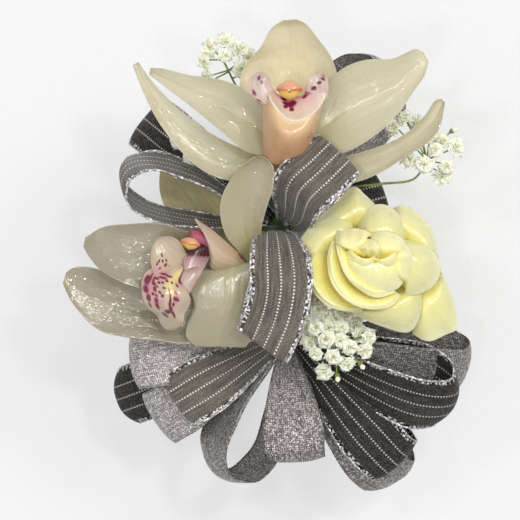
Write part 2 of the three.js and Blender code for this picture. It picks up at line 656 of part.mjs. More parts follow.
// Baby's breath. Each sprig is a main stem with a twig to every floret, grown as one piece.
// Places are shares of the sprig's reach from the point over the wristlet's middle.
const sprigs = [
  { name: "top_left_sprig",
    lineShares: [[-0.03, 0.735, -0.06], [-0.12, 0.98, 0.04], [-0.24, 1.2, 0.1],
      [-0.33, 1.38, 0.13]],
    floretShares: [[-0.31, 1.52, 0.16], [-0.43, 1.46, 0.12], [-0.47, 1.36, 0.16],
      [-0.21, 1.46, 0.15], [-0.14, 1.41, 0.1], [-0.31, 1.4, 0.26], [-0.2, 1.31, 0.2],
      [-0.45, 1.26, 0.1]] },
  { name: "left_sprig",
    lineShares: [[-0.12, 0.42, 0.02], [-0.28, 0.6, 0.2], [-0.44, 0.71, 0.27]],
    floretShares: [[-0.64, 0.83, 0.25], [-0.55, 0.73, 0.3], [-0.49, 0.8, 0.29],
      [-0.38, 0.67, 0.32]] },
  { name: "right_sprig",
    lineShares: [[0.14, 0.42, 0.06], [0.42, 0.5, 0.14], [0.73, 0.54, 0.2], [0.95, 0.57, 0.24],
      [1.04, 0.7, 0.26]],
    floretShares: [[0.89, 1, 0.26], [0.81, 0.93, 0.22], [0.96, 0.97, 0.2], [1.07, 0.87, 0.26],
      [1.16, 0.83, 0.28], [1.25, 0.79, 0.26], [1.1, 0.77, 0.34], [1.18, 0.65, 0.28],
      [1.15, 0.58, 0.2], [0.92, 0.7, 0.32], [1.02, 0.66, 0.36]] },
  { name: "lower_sprig",
    lineShares: [[0.06, -0.28, -0.02], [0.18, -0.36, 0.2], [0.32, -0.46, 0.32],
      [0.42, -0.54, 0.36]],
    floretShares: [[0.29, -0.42, 0.42], [0.25, -0.53, 0.34], [0.36, -0.51, 0.44],
      [0.53, -0.57, 0.4], [0.63, -0.59, 0.34], [0.66, -0.5, 0.3], [0.35, -0.73, 0.32],
      [0.51, -0.68, 0.34], [0.29, -0.61, 0.38], [0.41, -0.63, 0.42], [0.36, -0.35, 0.38],
      [0.47, -0.43, 0.36], [0.61, -0.47, 0.26], [0.25, -0.22, 0.36]] },
];
const sprigPlace = vec(0, 0, spineTop);

function twig(from, to, radius) {
  const length = from.distanceTo(to);
  const stick = new THREE.CylinderGeometry(radius, radius, length, 3);
  const turn = new THREE.Quaternion().setFromUnitVectors(
    vec(0, 1, 0), to.clone().sub(from).normalize());
  const middle = from.clone().lerp(to, 1 / 2);
  return stick.applyQuaternion(turn).translate(middle.x, middle.y, middle.z);
}

for (const sprig of sprigs) {
  const line = scaled(sprig.lineShares, sprigReach).map((point) => point.add(sprigPlace));
  const florets = scaled(sprig.floretShares, sprigReach).map((point) => point.add(sprigPlace));
  const knots = Array.from({ length: 9 }, (_, k) => alongLine(line, k / 8)).slice(4);
  add(wristlet, sprig.name, looks.floret, (grow) => joined([
    tube(line, sprigStemRadius, 6, 4, grow),
    ...florets.flatMap((floret) => {
      const knot = knots.reduce((a, b) => (
        b.distanceTo(floret) < a.distanceTo(floret) ? b : a));
      const head = new THREE.IcosahedronGeometry(floretRadius + grow, 0);
      return [
        twig(knot, floret, sprigStemRadius + grow),
        head.translate(floret.x, floret.y, floret.z),
      ];
    }),
  ]));
}

export default model;
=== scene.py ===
import bmesh
import bpy
import math
import numpy as np
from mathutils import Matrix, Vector


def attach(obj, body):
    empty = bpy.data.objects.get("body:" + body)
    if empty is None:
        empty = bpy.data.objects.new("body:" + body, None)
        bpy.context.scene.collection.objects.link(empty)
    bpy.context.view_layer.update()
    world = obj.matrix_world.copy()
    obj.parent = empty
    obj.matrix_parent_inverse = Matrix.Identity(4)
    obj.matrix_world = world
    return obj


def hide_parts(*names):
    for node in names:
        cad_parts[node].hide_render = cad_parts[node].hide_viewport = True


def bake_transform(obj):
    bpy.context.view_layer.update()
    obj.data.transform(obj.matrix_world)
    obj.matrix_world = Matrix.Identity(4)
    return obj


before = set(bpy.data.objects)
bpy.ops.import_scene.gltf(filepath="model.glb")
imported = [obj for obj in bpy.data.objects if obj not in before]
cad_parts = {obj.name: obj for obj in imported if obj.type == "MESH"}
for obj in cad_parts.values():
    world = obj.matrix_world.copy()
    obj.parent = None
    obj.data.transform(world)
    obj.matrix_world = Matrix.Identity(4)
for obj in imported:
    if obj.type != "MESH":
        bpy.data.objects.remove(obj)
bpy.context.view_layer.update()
scene = bpy.context.scene
scene.view_settings.view_transform = 'Standard'
print("frame loaded", len(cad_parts), "nodes")

# Camera. It looks straight down on the flowers, with +Y up in the picture.
cameraView = {
    "right": -0.0032,      # what the middle of the picture looks at
    "forward": 0.0011,
    "plane": 0.072,        # height at which the picture is as wide as below
    "width": 0.1388,
    "distance": 1.2,
    "side": 520,           # the picture's side in points
}


def buildCamera(view):
    camera = bpy.data.objects.new("topCamera", bpy.data.cameras.new("topCamera"))
    camera.data.sensor_width = 36
    camera.data.lens = 36 * view["distance"] / view["width"]
    camera.data.clip_start, camera.data.clip_end = 0.05, 20
    camera.location = (view["right"], view["forward"], view["plane"] + view["distance"])
    scene.collection.objects.link(camera)
    scene.camera = camera
    return camera


buildCamera(cameraView)

lamps = {
    "key": {"place": (0.55, 0.35, 0.95), "size": 0.3, "power": 3.85, "colour": (1, 0.98, 0.95)},
    "fill": {"place": (-0.6, -0.2, 1.1), "size": 0.9, "power": 1.7, "colour": (0.97, 0.98, 1)},
    "sparkle": {"place": (0.24, 0.2, 1.05), "size": 0.08, "power": 1.9, "colour": (1, 1, 1)},
    "flash": {"place": (-0.1, -0.14, 1.2), "size": 0.09, "power": 1.95, "colour": (1, 1, 1)},
    "windowLeft": {"place": (-0.32, 0.2, 1.05), "size": 0.08, "power": 1.2, "colour": (0.97, 0.98, 1)},
    "windowBack": {"place": (0.04, 0.36, 1.1), "size": 0.08, "power": 0.9, "colour": (1, 1, 1)},
}
lampAim = (0, 0, 0.06)
surround = {"world": (0.4, 0.4, 0.4), "backdrop": (0.92, 0.92, 0.92)}


def buildLights():
    for name, lamp in lamps.items():
        data = bpy.data.lights.new(name + "Light", 'AREA')
        data.size, data.energy, data.color = lamp["size"], lamp["power"], lamp["colour"]
        light = bpy.data.objects.new(name + "Light", data)
        light.location = lamp["place"]
        aim = np.array(lampAim) - np.array(lamp["place"])
        light.rotation_mode = 'QUATERNION'
        light.rotation_quaternion = Vector(aim).to_track_quat('-Z', 'Y')
        scene.collection.objects.link(light)


buildLights()


# Node helpers
def addNode(tree, kind, inputs=None, **settings):
    made = tree.nodes.new(kind)
    for key, value in settings.items():
        setattr(made, key, value)
    for key, value in (inputs or {}).items():
        if isinstance(value, bpy.types.NodeSocket):
            tree.links.new(value, made.inputs[key])
        else:
            made.inputs[key].default_value = value
    return made


def calc(tree, a, b, kind='ADD'):  # one maths node on two values
    return addNode(tree, 'ShaderNodeMath', {0: a, 1: b}, operation=kind).outputs[0]


def blendColour(tree, share, a, b):
    made = addNode(tree, 'ShaderNodeMix', data_type='RGBA')
    for key, value in ((0, share), (6, a), (7, b)):
        if isinstance(value, bpy.types.NodeSocket):
            tree.links.new(value, made.inputs[key])
        else:
            made.inputs[key].default_value = value if key == 0 else (*value[:3], 1)
    return made.outputs[2]


def ramp(tree, value, stops):
    made = addNode(tree, 'ShaderNodeValToRGB', {0: value})
    elements = made.color_ramp.elements
    while len(elements) < len(stops):
        elements.new(0.5)
    for element, (place, colour) in zip(elements, stops):
        element.position = place
        element.color = (*colour, 1) if len(colour) == 3 else colour
    return made.outputs[0]


def stretch(tree, value, low, high, toLow=0.0, toHigh=1.0):
    return addNode(tree, 'ShaderNodeMapRange', {
        'Value': value, 'From Min': low, 'From Max': high, 'To Min': toLow, 'To Max': toHigh,
    }).outputs[0]


def paint(red, green, blue):  # screen colour to the shader's own scale
    return tuple(((c / 255 + 0.055) / 1.055) ** 2.4 for c in (red, green, blue))


def newGroup(name, inputs, outputs):
    tree = bpy.data.node_groups.new(name, 'ShaderNodeTree')
    for label, kind, value in inputs:
        socket = tree.interface.new_socket(name=label, in_out='INPUT', socket_type=kind)
        if value is not None:
            socket.default_value = value
    for label, kind in outputs:
        tree.interface.new_socket(name=label, in_out='OUTPUT', socket_type=kind)
    return tree, tree.nodes.new('NodeGroupInput').outputs, tree.nodes.new('NodeGroupOutput').inputs


number, arrow = 'NodeSocketFloat', 'NodeSocketVector'


# Veins that run from a petal's foot to its tip, thinner towards the rim.
def buildVeins():
    tree, given, result = newGroup("petalVeins", [
        ("Map", arrow, None), ("Count", number, 14.0), ("Wander", number, 0.35),
        ("Sharpness", number, 3.0)], [("Vein", number), ("Height", number)])
    split = addNode(tree, 'ShaderNodeSeparateXYZ', {0: given["Map"]})
    soft = addNode(tree, 'ShaderNodeTexNoise', {'Vector': given["Map"], 'Scale': 3.5, 'Detail': 3.0})
    shift = calc(tree, stretch(tree, soft.outputs[0], 0, 1, -1, 1), given["Wander"], 'MULTIPLY')
    across = calc(tree, split.outputs[1], given["Count"], 'MULTIPLY')
    wave = calc(tree, calc(tree, across, shift), 0, 'SINE')
    line = calc(tree, calc(tree, 1.0, calc(tree, wave, 0, 'ABSOLUTE'), 'SUBTRACT'),
                given["Sharpness"], 'POWER')
    faded = calc(tree, line, stretch(tree, split.outputs[0], 0.1, 1.0, 1.0, 0.25), 'MULTIPLY')
    rib = addNode(tree, 'ShaderNodeMapRange', {
        'Value': calc(tree, split.outputs[1], 0, 'ABSOLUTE'), 'From Min': 0.0, 'From Max': 0.09,
        'To Min': 1.0, 'To Max': 0.0}, interpolation_type='SMOOTHSTEP').outputs[0]
    tree.links.new(faded, result["Vein"])
    tree.links.new(calc(tree, calc(tree, faded, -0.5, 'MULTIPLY'), rib, 'SUBTRACT'), result["Height"])
    return tree


# Wax and water film: patches of smoother skin over fine pebbled cells.
def buildWetSkin():
    tree, given, result = newGroup("wetSkin", [
        ("Place", arrow, None), ("Cell", number, 900.0), ("Dry", number, 0.42), ("Wet", number, 0.2)],
        [("Roughness", number), ("Height", number), ("Film", number)])
    patch = addNode(tree, 'ShaderNodeTexNoise', {
        'Vector': given["Place"], 'Scale': 160.0, 'Detail': 4.0, 'Roughness': 0.6})
    cells = addNode(tree, 'ShaderNodeTexVoronoi', {
        'Vector': given["Place"], 'Scale': given["Cell"]}, feature='SMOOTH_F1')
    ripples = addNode(tree, 'ShaderNodeTexNoise', {
        'Vector': given["Place"], 'Scale': 380.0, 'Detail': 2.0})
    mask = stretch(tree, patch.outputs[0], 0.35, 0.65)
    spread = calc(tree, given["Wet"], given["Dry"], 'SUBTRACT')
    rough = calc(tree, calc(tree, mask, spread, 'MULTIPLY'), given["Dry"])
    height = calc(tree, calc(tree, cells.outputs[0], 0.25, 'MULTIPLY'),
                  calc(tree, ripples.outputs[0], 1.0, 'MULTIPLY'))
    tree.links.new(rough, result["Roughness"])
    tree.links.new(height, result["Height"])
    tree.links.new(calc(tree, patch.outputs[0], calc(tree, ripples.outputs[0], 0.35, 'MULTIPLY')),
                   result["Film"])
    return tree


# Plain weave from two sets of threads, with the holes between them.
def buildWeave():
    tree, given, result = newGroup("threadWeave", [
        ("Map", arrow, None), ("Pitch", number, 0.35), ("Unevenness", number, 0.3), ("Fleck", number, 0.4)],
        [("Height", number), ("Hole", number), ("Glint", number)])
    wobble = addNode(tree, 'ShaderNodeTexNoise', {'Vector': given["Map"], 'Scale': 1.3, 'Detail': 2.0})
    moved = addNode(tree, 'ShaderNodeVectorMath', {
        0: given["Map"], 1: addNode(tree, 'ShaderNodeVectorMath', {
            0: wobble.outputs[1], 'Scale': given["Unevenness"]}, operation='SCALE').outputs[0]},
        operation='ADD').outputs[0]
    split = addNode(tree, 'ShaderNodeSeparateXYZ', {0: moved})
    turns = calc(tree, 2 * math.pi, given["Pitch"], 'DIVIDE')
    warp = calc(tree, calc(tree, split.outputs[0], turns, 'MULTIPLY'), 0, 'SINE')
    weft = calc(tree, calc(tree, split.outputs[1], turns, 'MULTIPLY'), 0, 'SINE')
    over = calc(tree, warp, weft, 'MULTIPLY')
    height = calc(tree, calc(tree, warp, weft, 'MAXIMUM'), calc(tree, over, 0.5, 'MULTIPLY'))
    hole = calc(tree, calc(tree, warp, weft, 'MAXIMUM'), -0.25, 'LESS_THAN')
    fleck = addNode(tree, 'ShaderNodeTexVoronoi', {
        'Vector': given["Map"], 'Scale': calc(tree, 1.0, given["Fleck"], 'DIVIDE')}, feature='F1')
    glint = stretch(tree, addNode(tree, 'ShaderNodeSeparateXYZ', {
        0: fleck.outputs[1]}).outputs[0], 0.5, 0.95)
    tree.links.new(height, result["Height"])
    tree.links.new(hole, result["Hole"])
    tree.links.new(glint, result["Glint"])
    return tree


# Long fibres with a mottled tone, for stems, tape and wire.
def buildFibres():
    tree, given, result = newGroup("fibreGrain", [
        ("Place", arrow, None), ("Scale", number, 700.0), ("Stretch", arrow, (1, 0.12, 1))],
        [("Tone", number), ("Height", number)])
    long = addNode(tree, 'ShaderNodeVectorMath', {0: given["Place"], 1: given["Stretch"]},
                   operation='MULTIPLY').outputs[0]
    grain = addNode(tree, 'ShaderNodeTexNoise', {
        'Vector': long, 'Scale': given["Scale"], 'Detail': 3.0})
    mottle = addNode(tree, 'ShaderNodeTexNoise', {'Vector': given["Place"], 'Scale': 120.0, 'Detail': 3.0})
    tone = calc(tree, calc(tree, grain.outputs[0], 0.6, 'MULTIPLY'),
                calc(tree, mottle.outputs[0], 0.4, 'MULTIPLY'))
    tree.links.new(tone, result["Tone"])
    tree.links.new(grain.outputs[0], result["Height"])
    return tree


veinGroup, skinGroup, weaveGroup, fibreGroup = buildVeins(), buildWetSkin(), buildWeave(), buildFibres()


def grouped(tree, group, inputs):
    made = addNode(tree, 'ShaderNodeGroup', node_tree=group)
    for key, value in inputs.items():
        if isinstance(value, bpy.types.NodeSocket):
            tree.links.new(value, made.inputs[key])
        else:
            made.inputs[key].default_value = value
    return made.outputs


def newMaterial(name, **fixed):
    material = bpy.data.materials.new(name)
    material.use_nodes = True
    tree = material.node_tree
    shader = tree.nodes["Principled BSDF"]
    for key, value in fixed.items():
        shader.inputs[key.replace("_", " ")].default_value = value
    return material, tree, shader


def bumped(tree, shader, height, distance, socket='Normal'):
    bump = addNode(tree, 'ShaderNodeBump', {'Height': height, 'Distance': distance})
    tree.links.new(bump.outputs[0], shader.inputs[socket])


# Waxy tepals: pale middle, faint veins, a green glow near the foot, a tanned tip and a darker edge painted as
# shade where the edge curves away.
def tepalMaterial(name, look):
    material, tree, shader = newMaterial(
        name, Subsurface_Weight=0.25, Subsurface_Scale=0.003, Coat_Weight=1.0,
        Coat_Roughness=0.05, Specular_IOR_Level=0.4)
    shader.inputs['Subsurface Radius'].default_value = (1.0, 0.85, 0.45)
    where = addNode(tree, 'ShaderNodeTexCoord')
    veins = grouped(tree, veinGroup, {"Map": where.outputs['UV'], "Count": look["veins"]})
    skin = grouped(tree, skinGroup, {"Place": where.outputs['Object'], "Dry": 0.45, "Wet": 0.24})
    split = addNode(tree, 'ShaderNodeSeparateXYZ', {0: where.outputs['UV']})
    u, v = split.outputs[0], calc(tree, split.outputs[1], 0, 'ABSOLUTE')
    along = ramp(tree, u, [(0, look["foot"]), (0.35, look["middle"]), (0.88, look["tip"]),
                           (0.96, look["tip"]), (1, look["end"])])
    glow = calc(tree, stretch(tree, v, 0.0, 0.5, 1, 0), stretch(tree, u, 0.0, 0.75, 1, 0), 'MULTIPLY')
    body = blendColour(tree, calc(tree, glow, look["glowShare"], 'MULTIPLY'), along, look["glow"])
    # painted shade: towards each side the colour darkens to the rim colour, as if the edge curved away from
    # the light
    rim = stretch(tree, v, 0.86, 1.0)
    body = blendColour(tree, calc(tree, rim, 0.5, 'MULTIPLY'), body, look["rim"])
    body = blendColour(tree, calc(tree, veins["Vein"], look["veinShare"], 'MULTIPLY'), body, look["vein"])
    cloud = addNode(tree, 'ShaderNodeTexNoise', {
        'Vector': where.outputs['Object'], 'Scale': 90.0, 'Detail': 3.0})
    body = blendColour(tree, stretch(tree, cloud.outputs[0], 0.3, 0.75, 0.0, 0.22), body, look["shade"])
    tree.links.new(body, shader.inputs['Base Color'])
    tree.links.new(skin["Roughness"], shader.inputs['Roughness'])
    height = calc(tree, calc(tree, veins["Height"], 0.3, 'MULTIPLY'),
                  calc(tree, skin["Height"], 0.6, 'MULTIPLY'))
    bumped(tree, shader, height, 0.00022)
    bumped(tree, shader, skin["Film"], 0.001, 'Coat Normal')
    return material


topTepal = tepalMaterial("topTepal", {
    "foot": paint(208, 198, 152), "middle": paint(220, 209, 176), "tip": paint(222, 212, 184),
    "glow": paint(216, 208, 132), "glowShare": 0.55, "rim": paint(168, 158, 132), "end": paint(168, 148, 112),
    "vein": paint(200, 192, 146), "veinShare": 0.25, "shade": paint(198, 187, 154), "veins": 16.0})
sideTepal = tepalMaterial("sideTepal", {
    "foot": paint(184, 178, 142), "middle": paint(193, 187, 160), "tip": paint(200, 193, 168),
    "glow": paint(186, 180, 124), "glowShare": 0.45, "rim": paint(154, 146, 126), "end": paint(172, 148, 124),
    "vein": paint(176, 168, 134), "veinShare": 0.22, "shade": paint(166, 156, 130), "veins": 16.0})
# The left orchid's two tepal looks are painted darker and greyer than the top orchid's: mostly painted shade,
# for a flower that lies away from the key light.
leftTepalInShade = tepalMaterial("leftTepalInShade", {
    "foot": paint(144, 137, 106), "middle": paint(143, 136, 117), "tip": paint(149, 142, 124),
    "glow": paint(162, 158, 106), "glowShare": 0.4, "rim": paint(116, 108, 92), "end": paint(142, 126, 102),
    "vein": paint(142, 134, 106), "veinShare": 0.22, "shade": paint(132, 122, 102), "veins": 16.0})
foldTepalInShade = tepalMaterial("foldTepalInShade", {
    "foot": paint(158, 152, 104), "middle": paint(166, 158, 130), "tip": paint(162, 152, 126),
    "glow": paint(160, 160, 92), "glowShare": 0.5, "rim": paint(166, 156, 130), "end": paint(146, 130, 100),
    "vein": paint(150, 144, 108), "veinShare": 0.22, "shade": paint(146, 137, 112), "veins": 16.0})
greenTepal = tepalMaterial("greenTepal", {
    "foot": paint(186, 178, 110), "middle": paint(186, 175, 128), "tip": paint(180, 168, 130),
    "glow": paint(136, 142, 68), "glowShare": 0.8, "rim": paint(160, 146, 108), "end": paint(146, 132, 96),
    "vein": paint(132, 132, 74), "veinShare": 0.4, "shade": paint(126, 114, 80), "veins": 14.0})


# Lips: peach outside, near-white inside with plum marks placed on the piece's own map.
def lipMaterial(name, look):
    material, tree, shader = newMaterial(
        name, Subsurface_Weight=0.12, Subsurface_Scale=0.0006, Coat_Weight=0.4,
        Coat_Roughness=0.15, Specular_IOR_Level=0.5)
    where = addNode(tree, 'ShaderNodeTexCoord')
    veins = grouped(tree, veinGroup, {
        "Map": where.outputs['UV'], "Count": look["veins"], "Wander": 0.6, "Sharpness": 2.0})
    skin = grouped(tree, skinGroup, {"Place": where.outputs['Object'], "Dry": 0.4, "Wet": 0.25})
    split = addNode(tree, 'ShaderNodeSeparateXYZ', {0: where.outputs['UV']})
    u, v = split.outputs[0], calc(tree, split.outputs[1], 0, 'ABSOLUTE')
    body = ramp(tree, u, look["along"])
    body = blendColour(tree, calc(tree, stretch(tree, v, 0.55, 1.0), look["sideShare"], 'MULTIPLY'),
                       body, look["side"])
    body = blendColour(tree, calc(tree, veins["Vein"], look["veinShare"], 'MULTIPLY'), body, look["vein"])
    if "marks" in look:
        marks = look["marks"]
        ragged = addNode(tree, 'ShaderNodeTexNoise', {
            'Vector': where.outputs['UV'], 'Scale': marks["ragged"], 'Detail': 2.0})
        moved = addNode(tree, 'ShaderNodeVectorMath', {
            0: where.outputs['UV'], 1: addNode(tree, 'ShaderNodeVectorMath', {
                0: addNode(tree, 'ShaderNodeVectorMath', {
                    0: ragged.outputs[1], 1: (0.5, 0.5, 0.5)}, operation='SUBTRACT').outputs[0],
                'Scale': marks["shift"]}, operation='SCALE').outputs[0]}, operation='ADD').outputs[0]
        for across, up, wide, high, strength, *tint in marks["blots"]:
            away = addNode(tree, 'ShaderNodeVectorMath', {0: moved, 1: (up, across, 0)},
                           operation='SUBTRACT').outputs[0]
            flat = addNode(tree, 'ShaderNodeVectorMath', {0: away, 1: (1 / high, 1 / wide, 0)},
                           operation='MULTIPLY').outputs[0]
            far = addNode(tree, 'ShaderNodeVectorMath', {0: flat}, operation='LENGTH').outputs[1]
            if tint:  # a wide soft stain of its own colour
                body = blendColour(tree, stretch(tree, far, 1.2, 0.3, 0.0, strength), body, tint[0])
            else:
                body = blendColour(tree, stretch(tree, far, 1.15, 0.7, 0.0, strength), body, look["mark"])
    tree.links.new(body, shader.inputs['Base Color'])
    tree.links.new(skin["Roughness"], shader.inputs['Roughness'])
    height = calc(tree, calc(tree, veins["Vein"], 0.5, 'MULTIPLY'),
                  calc(tree, skin["Height"], 0.3, 'MULTIPLY'))
    bumped(tree, shader, height, 0.0002)
    return material


plum, blushPink, creamYellow = paint(112, 0, 50), paint(190, 124, 142), paint(222, 204, 128)
peachTube = lipMaterial("peachTube", {
    "along": [(0, paint(214, 156, 118)), (0.5, paint(214, 168, 124)), (0.9, paint(212, 178, 134)),
              (1, paint(226, 206, 170))],
    "side": paint(220, 160, 136), "sideShare": 0.7, "vein": paint(204, 150, 110), "veinShare": 0.18,
    "veins": 9.0})
whiteApron = lipMaterial("whiteApron", {
    "along": [(0, paint(222, 206, 182)), (0.35, paint(216, 192, 176)), (0.75, paint(208, 168, 168)),
              (1, paint(186, 112, 118))],
    "side": paint(212, 178, 168), "sideShare": 0.4, "vein": paint(246, 238, 224), "veinShare": 0.2,
    "veins": 8.0, "mark": plum,
    "marks": {"ragged": 9.0, "shift": 0.16, "blots": [
        (-0.06, 0.66, 0.22, 0.15, 1.0), (-0.26, 0.84, 0.14, 0.09, 1.0), (0.1, 0.74, 0.16, 0.12, 1.0),
        (-0.16, 0.5, 0.08, 0.1, 1.0), (0.04, 0.48, 0.09, 0.1, 1.0), (0.5, 0.88, 0.12, 0.07, 1.0),
        (0.66, 0.93, 0.07, 0.06, 0.9), (0.8, 0.95, 0.06, 0.06, 0.9), (0.9, 0.97, 0.05, 0.05, 0.9)]}})
mauveLook = {
    "along": [(0, paint(212, 190, 176)), (0.5, paint(194, 174, 162)), (1, paint(186, 170, 154))],
    "side": paint(214, 178, 182), "sideShare": 0.6, "vein": paint(190, 160, 158), "veinShare": 0.25,
    "veins": 8.0, "mark": plum}
mauvePlain = lipMaterial("mauvePlain", {
    **mauveLook, "along": [(0, paint(176, 148, 142)), (0.6, paint(188, 166, 152)), (1, paint(178, 160, 142))],
    "side": paint(186, 152, 150)})
mauveLeft = lipMaterial("mauveLeft", {**mauveLook, "marks": {
    "ragged": 7.0, "shift": 0.14, "blots": [
        (-0.12, 0.66, 0.2, 0.09, 0.9), (0.16, 0.52, 0.16, 0.07, 0.9), (-0.7, 0.3, 0.16, 0.07, 0.9),
        (-0.8, 0.12, 0.12, 0.05, 0.9)]}})
mauveRight = lipMaterial("mauveRight", {**mauveLook, "marks": {
    "ragged": 7.0, "shift": 0.14, "blots": [
        (-0.72, 0.1, 0.24, 0.06, 1.0), (-0.25, 0.26, 0.24, 0.065, 1.0), (0.14, 0.42, 0.24, 0.06, 1.0),
        (0.5, 0.57, 0.26, 0.06, 1.0), (0.7, 0.72, 0.2, 0.05, 0.9)]}})
rolledLobe = lipMaterial("rolledLobe", {
    "along": [(0, paint(196, 168, 134)), (0.45, paint(198, 174, 148)), (0.85, paint(206, 176, 166)),
              (1, paint(214, 196, 176))],
    "side": paint(196, 160, 140), "sideShare": 0.5, "vein": paint(186, 158, 130), "veinShare": 0.2,
    "veins": 9.0})
# Deep red throat, painted nearly black towards its foot: partly its own colour, partly painted shade of the
# hollow under the column.
throatRedAndShade = lipMaterial("throatRedAndShade", {
    "along": [(0, paint(62, 4, 6)), (0.42, paint(72, 4, 8)), (0.5, paint(170, 132, 136)),
              (1, paint(186, 164, 152))],
    "side": paint(120, 60, 70), "sideShare": 0.12, "vein": paint(122, 84, 92), "veinShare": 0.06,
    "veins": 10.0})
spottedLook = {
    "along": [(0, paint(186, 168, 142)), (0.5, paint(188, 170, 148)), (1, paint(182, 166, 142))],
    "side": paint(188, 162, 148), "sideShare": 0.4, "vein": paint(176, 152, 128), "veinShare": 0.2,
    "veins": 10.0, "mark": plum}


# Where points of the picture lie on a petal's own map; each spot is x, y and its half sizes.
def spotPlaces(look, spots, strength=1.0, grow=1.3, tint=()):
    u, v = np.meshgrid(np.linspace(0, 1, 161), np.linspace(-1, 1, 161), indexing='ij')
    edgeA, edgeB = smooth(look["edgeA"], u), smooth(look["edgeB"], u)
    flat = edgeA + (edgeB - edgeA) * (v[..., None] + 1) / 2
    places = []
    for x, y, halfX, halfY in spots:
        at = np.unravel_index(np.argmin(np.hypot(flat[..., 0] - x, flat[..., 1] - y)), u.shape)
        wide = np.linalg.norm(edgeB[at] - edgeA[at]) / 2
        high = np.linalg.norm(flat[-1, at[1]] - flat[0, at[1]])
        places.append((float(v[at]), float(u[at]), grow * halfX / wide, grow * halfY / high, strength, *tint))
    return places


lipStains = {"blush": [(149, 286, 8, 11), (157, 302, 7, 7), (163, 274, 9, 6), (176, 298, 5, 8),
                       (181, 280, 4, 8)],
             "cream": [(170, 287, 5, 11), (176, 276, 4, 8)]}
nearLobeSpots = [
    (161.7, 255, 0.9, 1.4), (159, 261, 1.3, 0.9), (162.5, 261, 1.1, 0.9), (166, 260.5, 0.9, 0.9),
    (157, 264, 1.3, 0.9), (165.5, 265.5, 2, 0.9), (169, 267, 1.2, 0.8), (160, 269, 1.5, 0.9),
    (165.5, 269, 1.4, 0.9), (164, 273, 3, 0.9), (170, 272, 1.6, 0.8), (163, 276.5, 3.6, 1)]
tongueSpots = [
    (145.7, 289, 2.4, 2.5), (148.6, 297.7, 2, 2.6), (150, 305, 0.9, 2.4), (157.5, 306, 1.6, 3),
    (156.3, 300.5, 2, 2), (162.5, 296, 1.5, 1.2), (160, 292.5, 1.4, 1), (156.7, 295.4, 1.6, 0.9),
    (153, 293.8, 1.3, 1.1), (154.6, 289, 1.6, 1.8), (157, 286.5, 1.4, 0.8), (153.8, 283.8, 2, 1.1),
    (159, 282.5, 1.5, 0.9), (162.5, 282.5, 1.4, 0.8), (166.7, 281, 1.6, 0.8), (164, 288, 1.7, 0.8),
    (171.7, 283, 1.2, 0.7), (147, 279.5, 2.4, 3.4), (150.5, 277.5, 1.2, 3), (153.5, 280, 1, 2.2),
    (156.5, 278.5, 2.6, 0.9), (162.5, 277.8, 4, 0.9), (169, 276, 3, 0.9), (164, 274.5, 4, 0.8),
    (183, 272.5, 0.9, 4), (179.5, 279, 0.9, 3.6), (181, 282, 2.2, 1.8), (177, 285.5, 1.2, 1.4),
    (170.6, 297, 0.7, 6), (170, 304, 1.1, 5), (170.8, 309.5, 1.5, 3), (167.6, 312, 2.4, 2),
    (165.4, 315, 2.2, 2.6), (173.4, 314.5, 1.3, 3.4), (175.8, 293, 1.4, 1.4), (176, 298.8, 2.3, 1.7),
    (173.3, 304.6, 1.3, 1.6), (178, 300.5, 1.4, 1)]


# Rose petals: deep yellow down inside, pale and almost white at the rim.
def roseMaterial(name, look):
    material, tree, shader = newMaterial(
        name, Subsurface_Weight=0.3, Subsurface_Scale=0.003, Coat_Weight=0.85,
        Coat_Roughness=0.06, Specular_IOR_Level=0.4)
    shader.inputs['Subsurface Radius'].default_value = (1.0, 0.9, 0.4)
    where = addNode(tree, 'ShaderNodeTexCoord')
    veins = grouped(tree, veinGroup, {
        "Map": where.outputs['UV'], "Count": 22.0, "Wander": 0.8, "Sharpness": 4.0})
    skin = grouped(tree, skinGroup, {
        "Place": where.outputs['Object'], "Cell": 1200.0, "Dry": 0.4, "Wet": 0.16})
    split = addNode(tree, 'ShaderNodeSeparateXYZ', {0: where.outputs['UV']})
    body = ramp(tree, split.outputs[0], look["along"])
    rim = stretch(tree, split.outputs[0], 0.9, 1.0)
    body = blendColour(tree, calc(tree, rim, 0.6, 'MULTIPLY'), body, look["rim"])
    cloud = addNode(tree, 'ShaderNodeTexNoise', {
        'Vector': where.outputs['Object'], 'Scale': 110.0, 'Detail': 3.0})
    body = blendColour(tree, stretch(tree, cloud.outputs[0], 0.35, 0.75, 0.0, 0.3), body, look["green"])
    body = blendColour(tree, calc(tree, veins["Vein"], 0.2, 'MULTIPLY'), body, look["vein"])
    tree.links.new(body, shader.inputs['Base Color'])
    tree.links.new(skin["Roughness"], shader.inputs['Roughness'])
    height = calc(tree, calc(tree, veins["Vein"], 0.35, 'MULTIPLY'),
                  calc(tree, skin["Height"], 0.4, 'MULTIPLY'))
    bumped(tree, shader, height, 0.00018)
    bumped(tree, shader, skin["Film"], 0.0007, 'Coat Normal')
    return material


rosePetalSkin = roseMaterial("rosePetalSkin", {
    "along": [(0, paint(234, 206, 78)), (0.36, paint(236, 216, 96)), (0.56, paint(232, 222, 138)),
              (0.78, paint(226, 220, 160)), (1, paint(224, 219, 166))],
    "rim": paint(242, 239, 200), "green": paint(212, 206, 140), "vein": paint(218, 210, 138)})
roseInnerSkin = roseMaterial("roseInnerSkin", {
    "along": [(0, paint(240, 206, 76)), (0.36, paint(246, 224, 98)), (0.54, paint(250, 240, 158)),
              (1, paint(250, 245, 180))],
    "rim": paint(253, 250, 214), "green": paint(242, 232, 154), "vein": paint(242, 230, 136)})


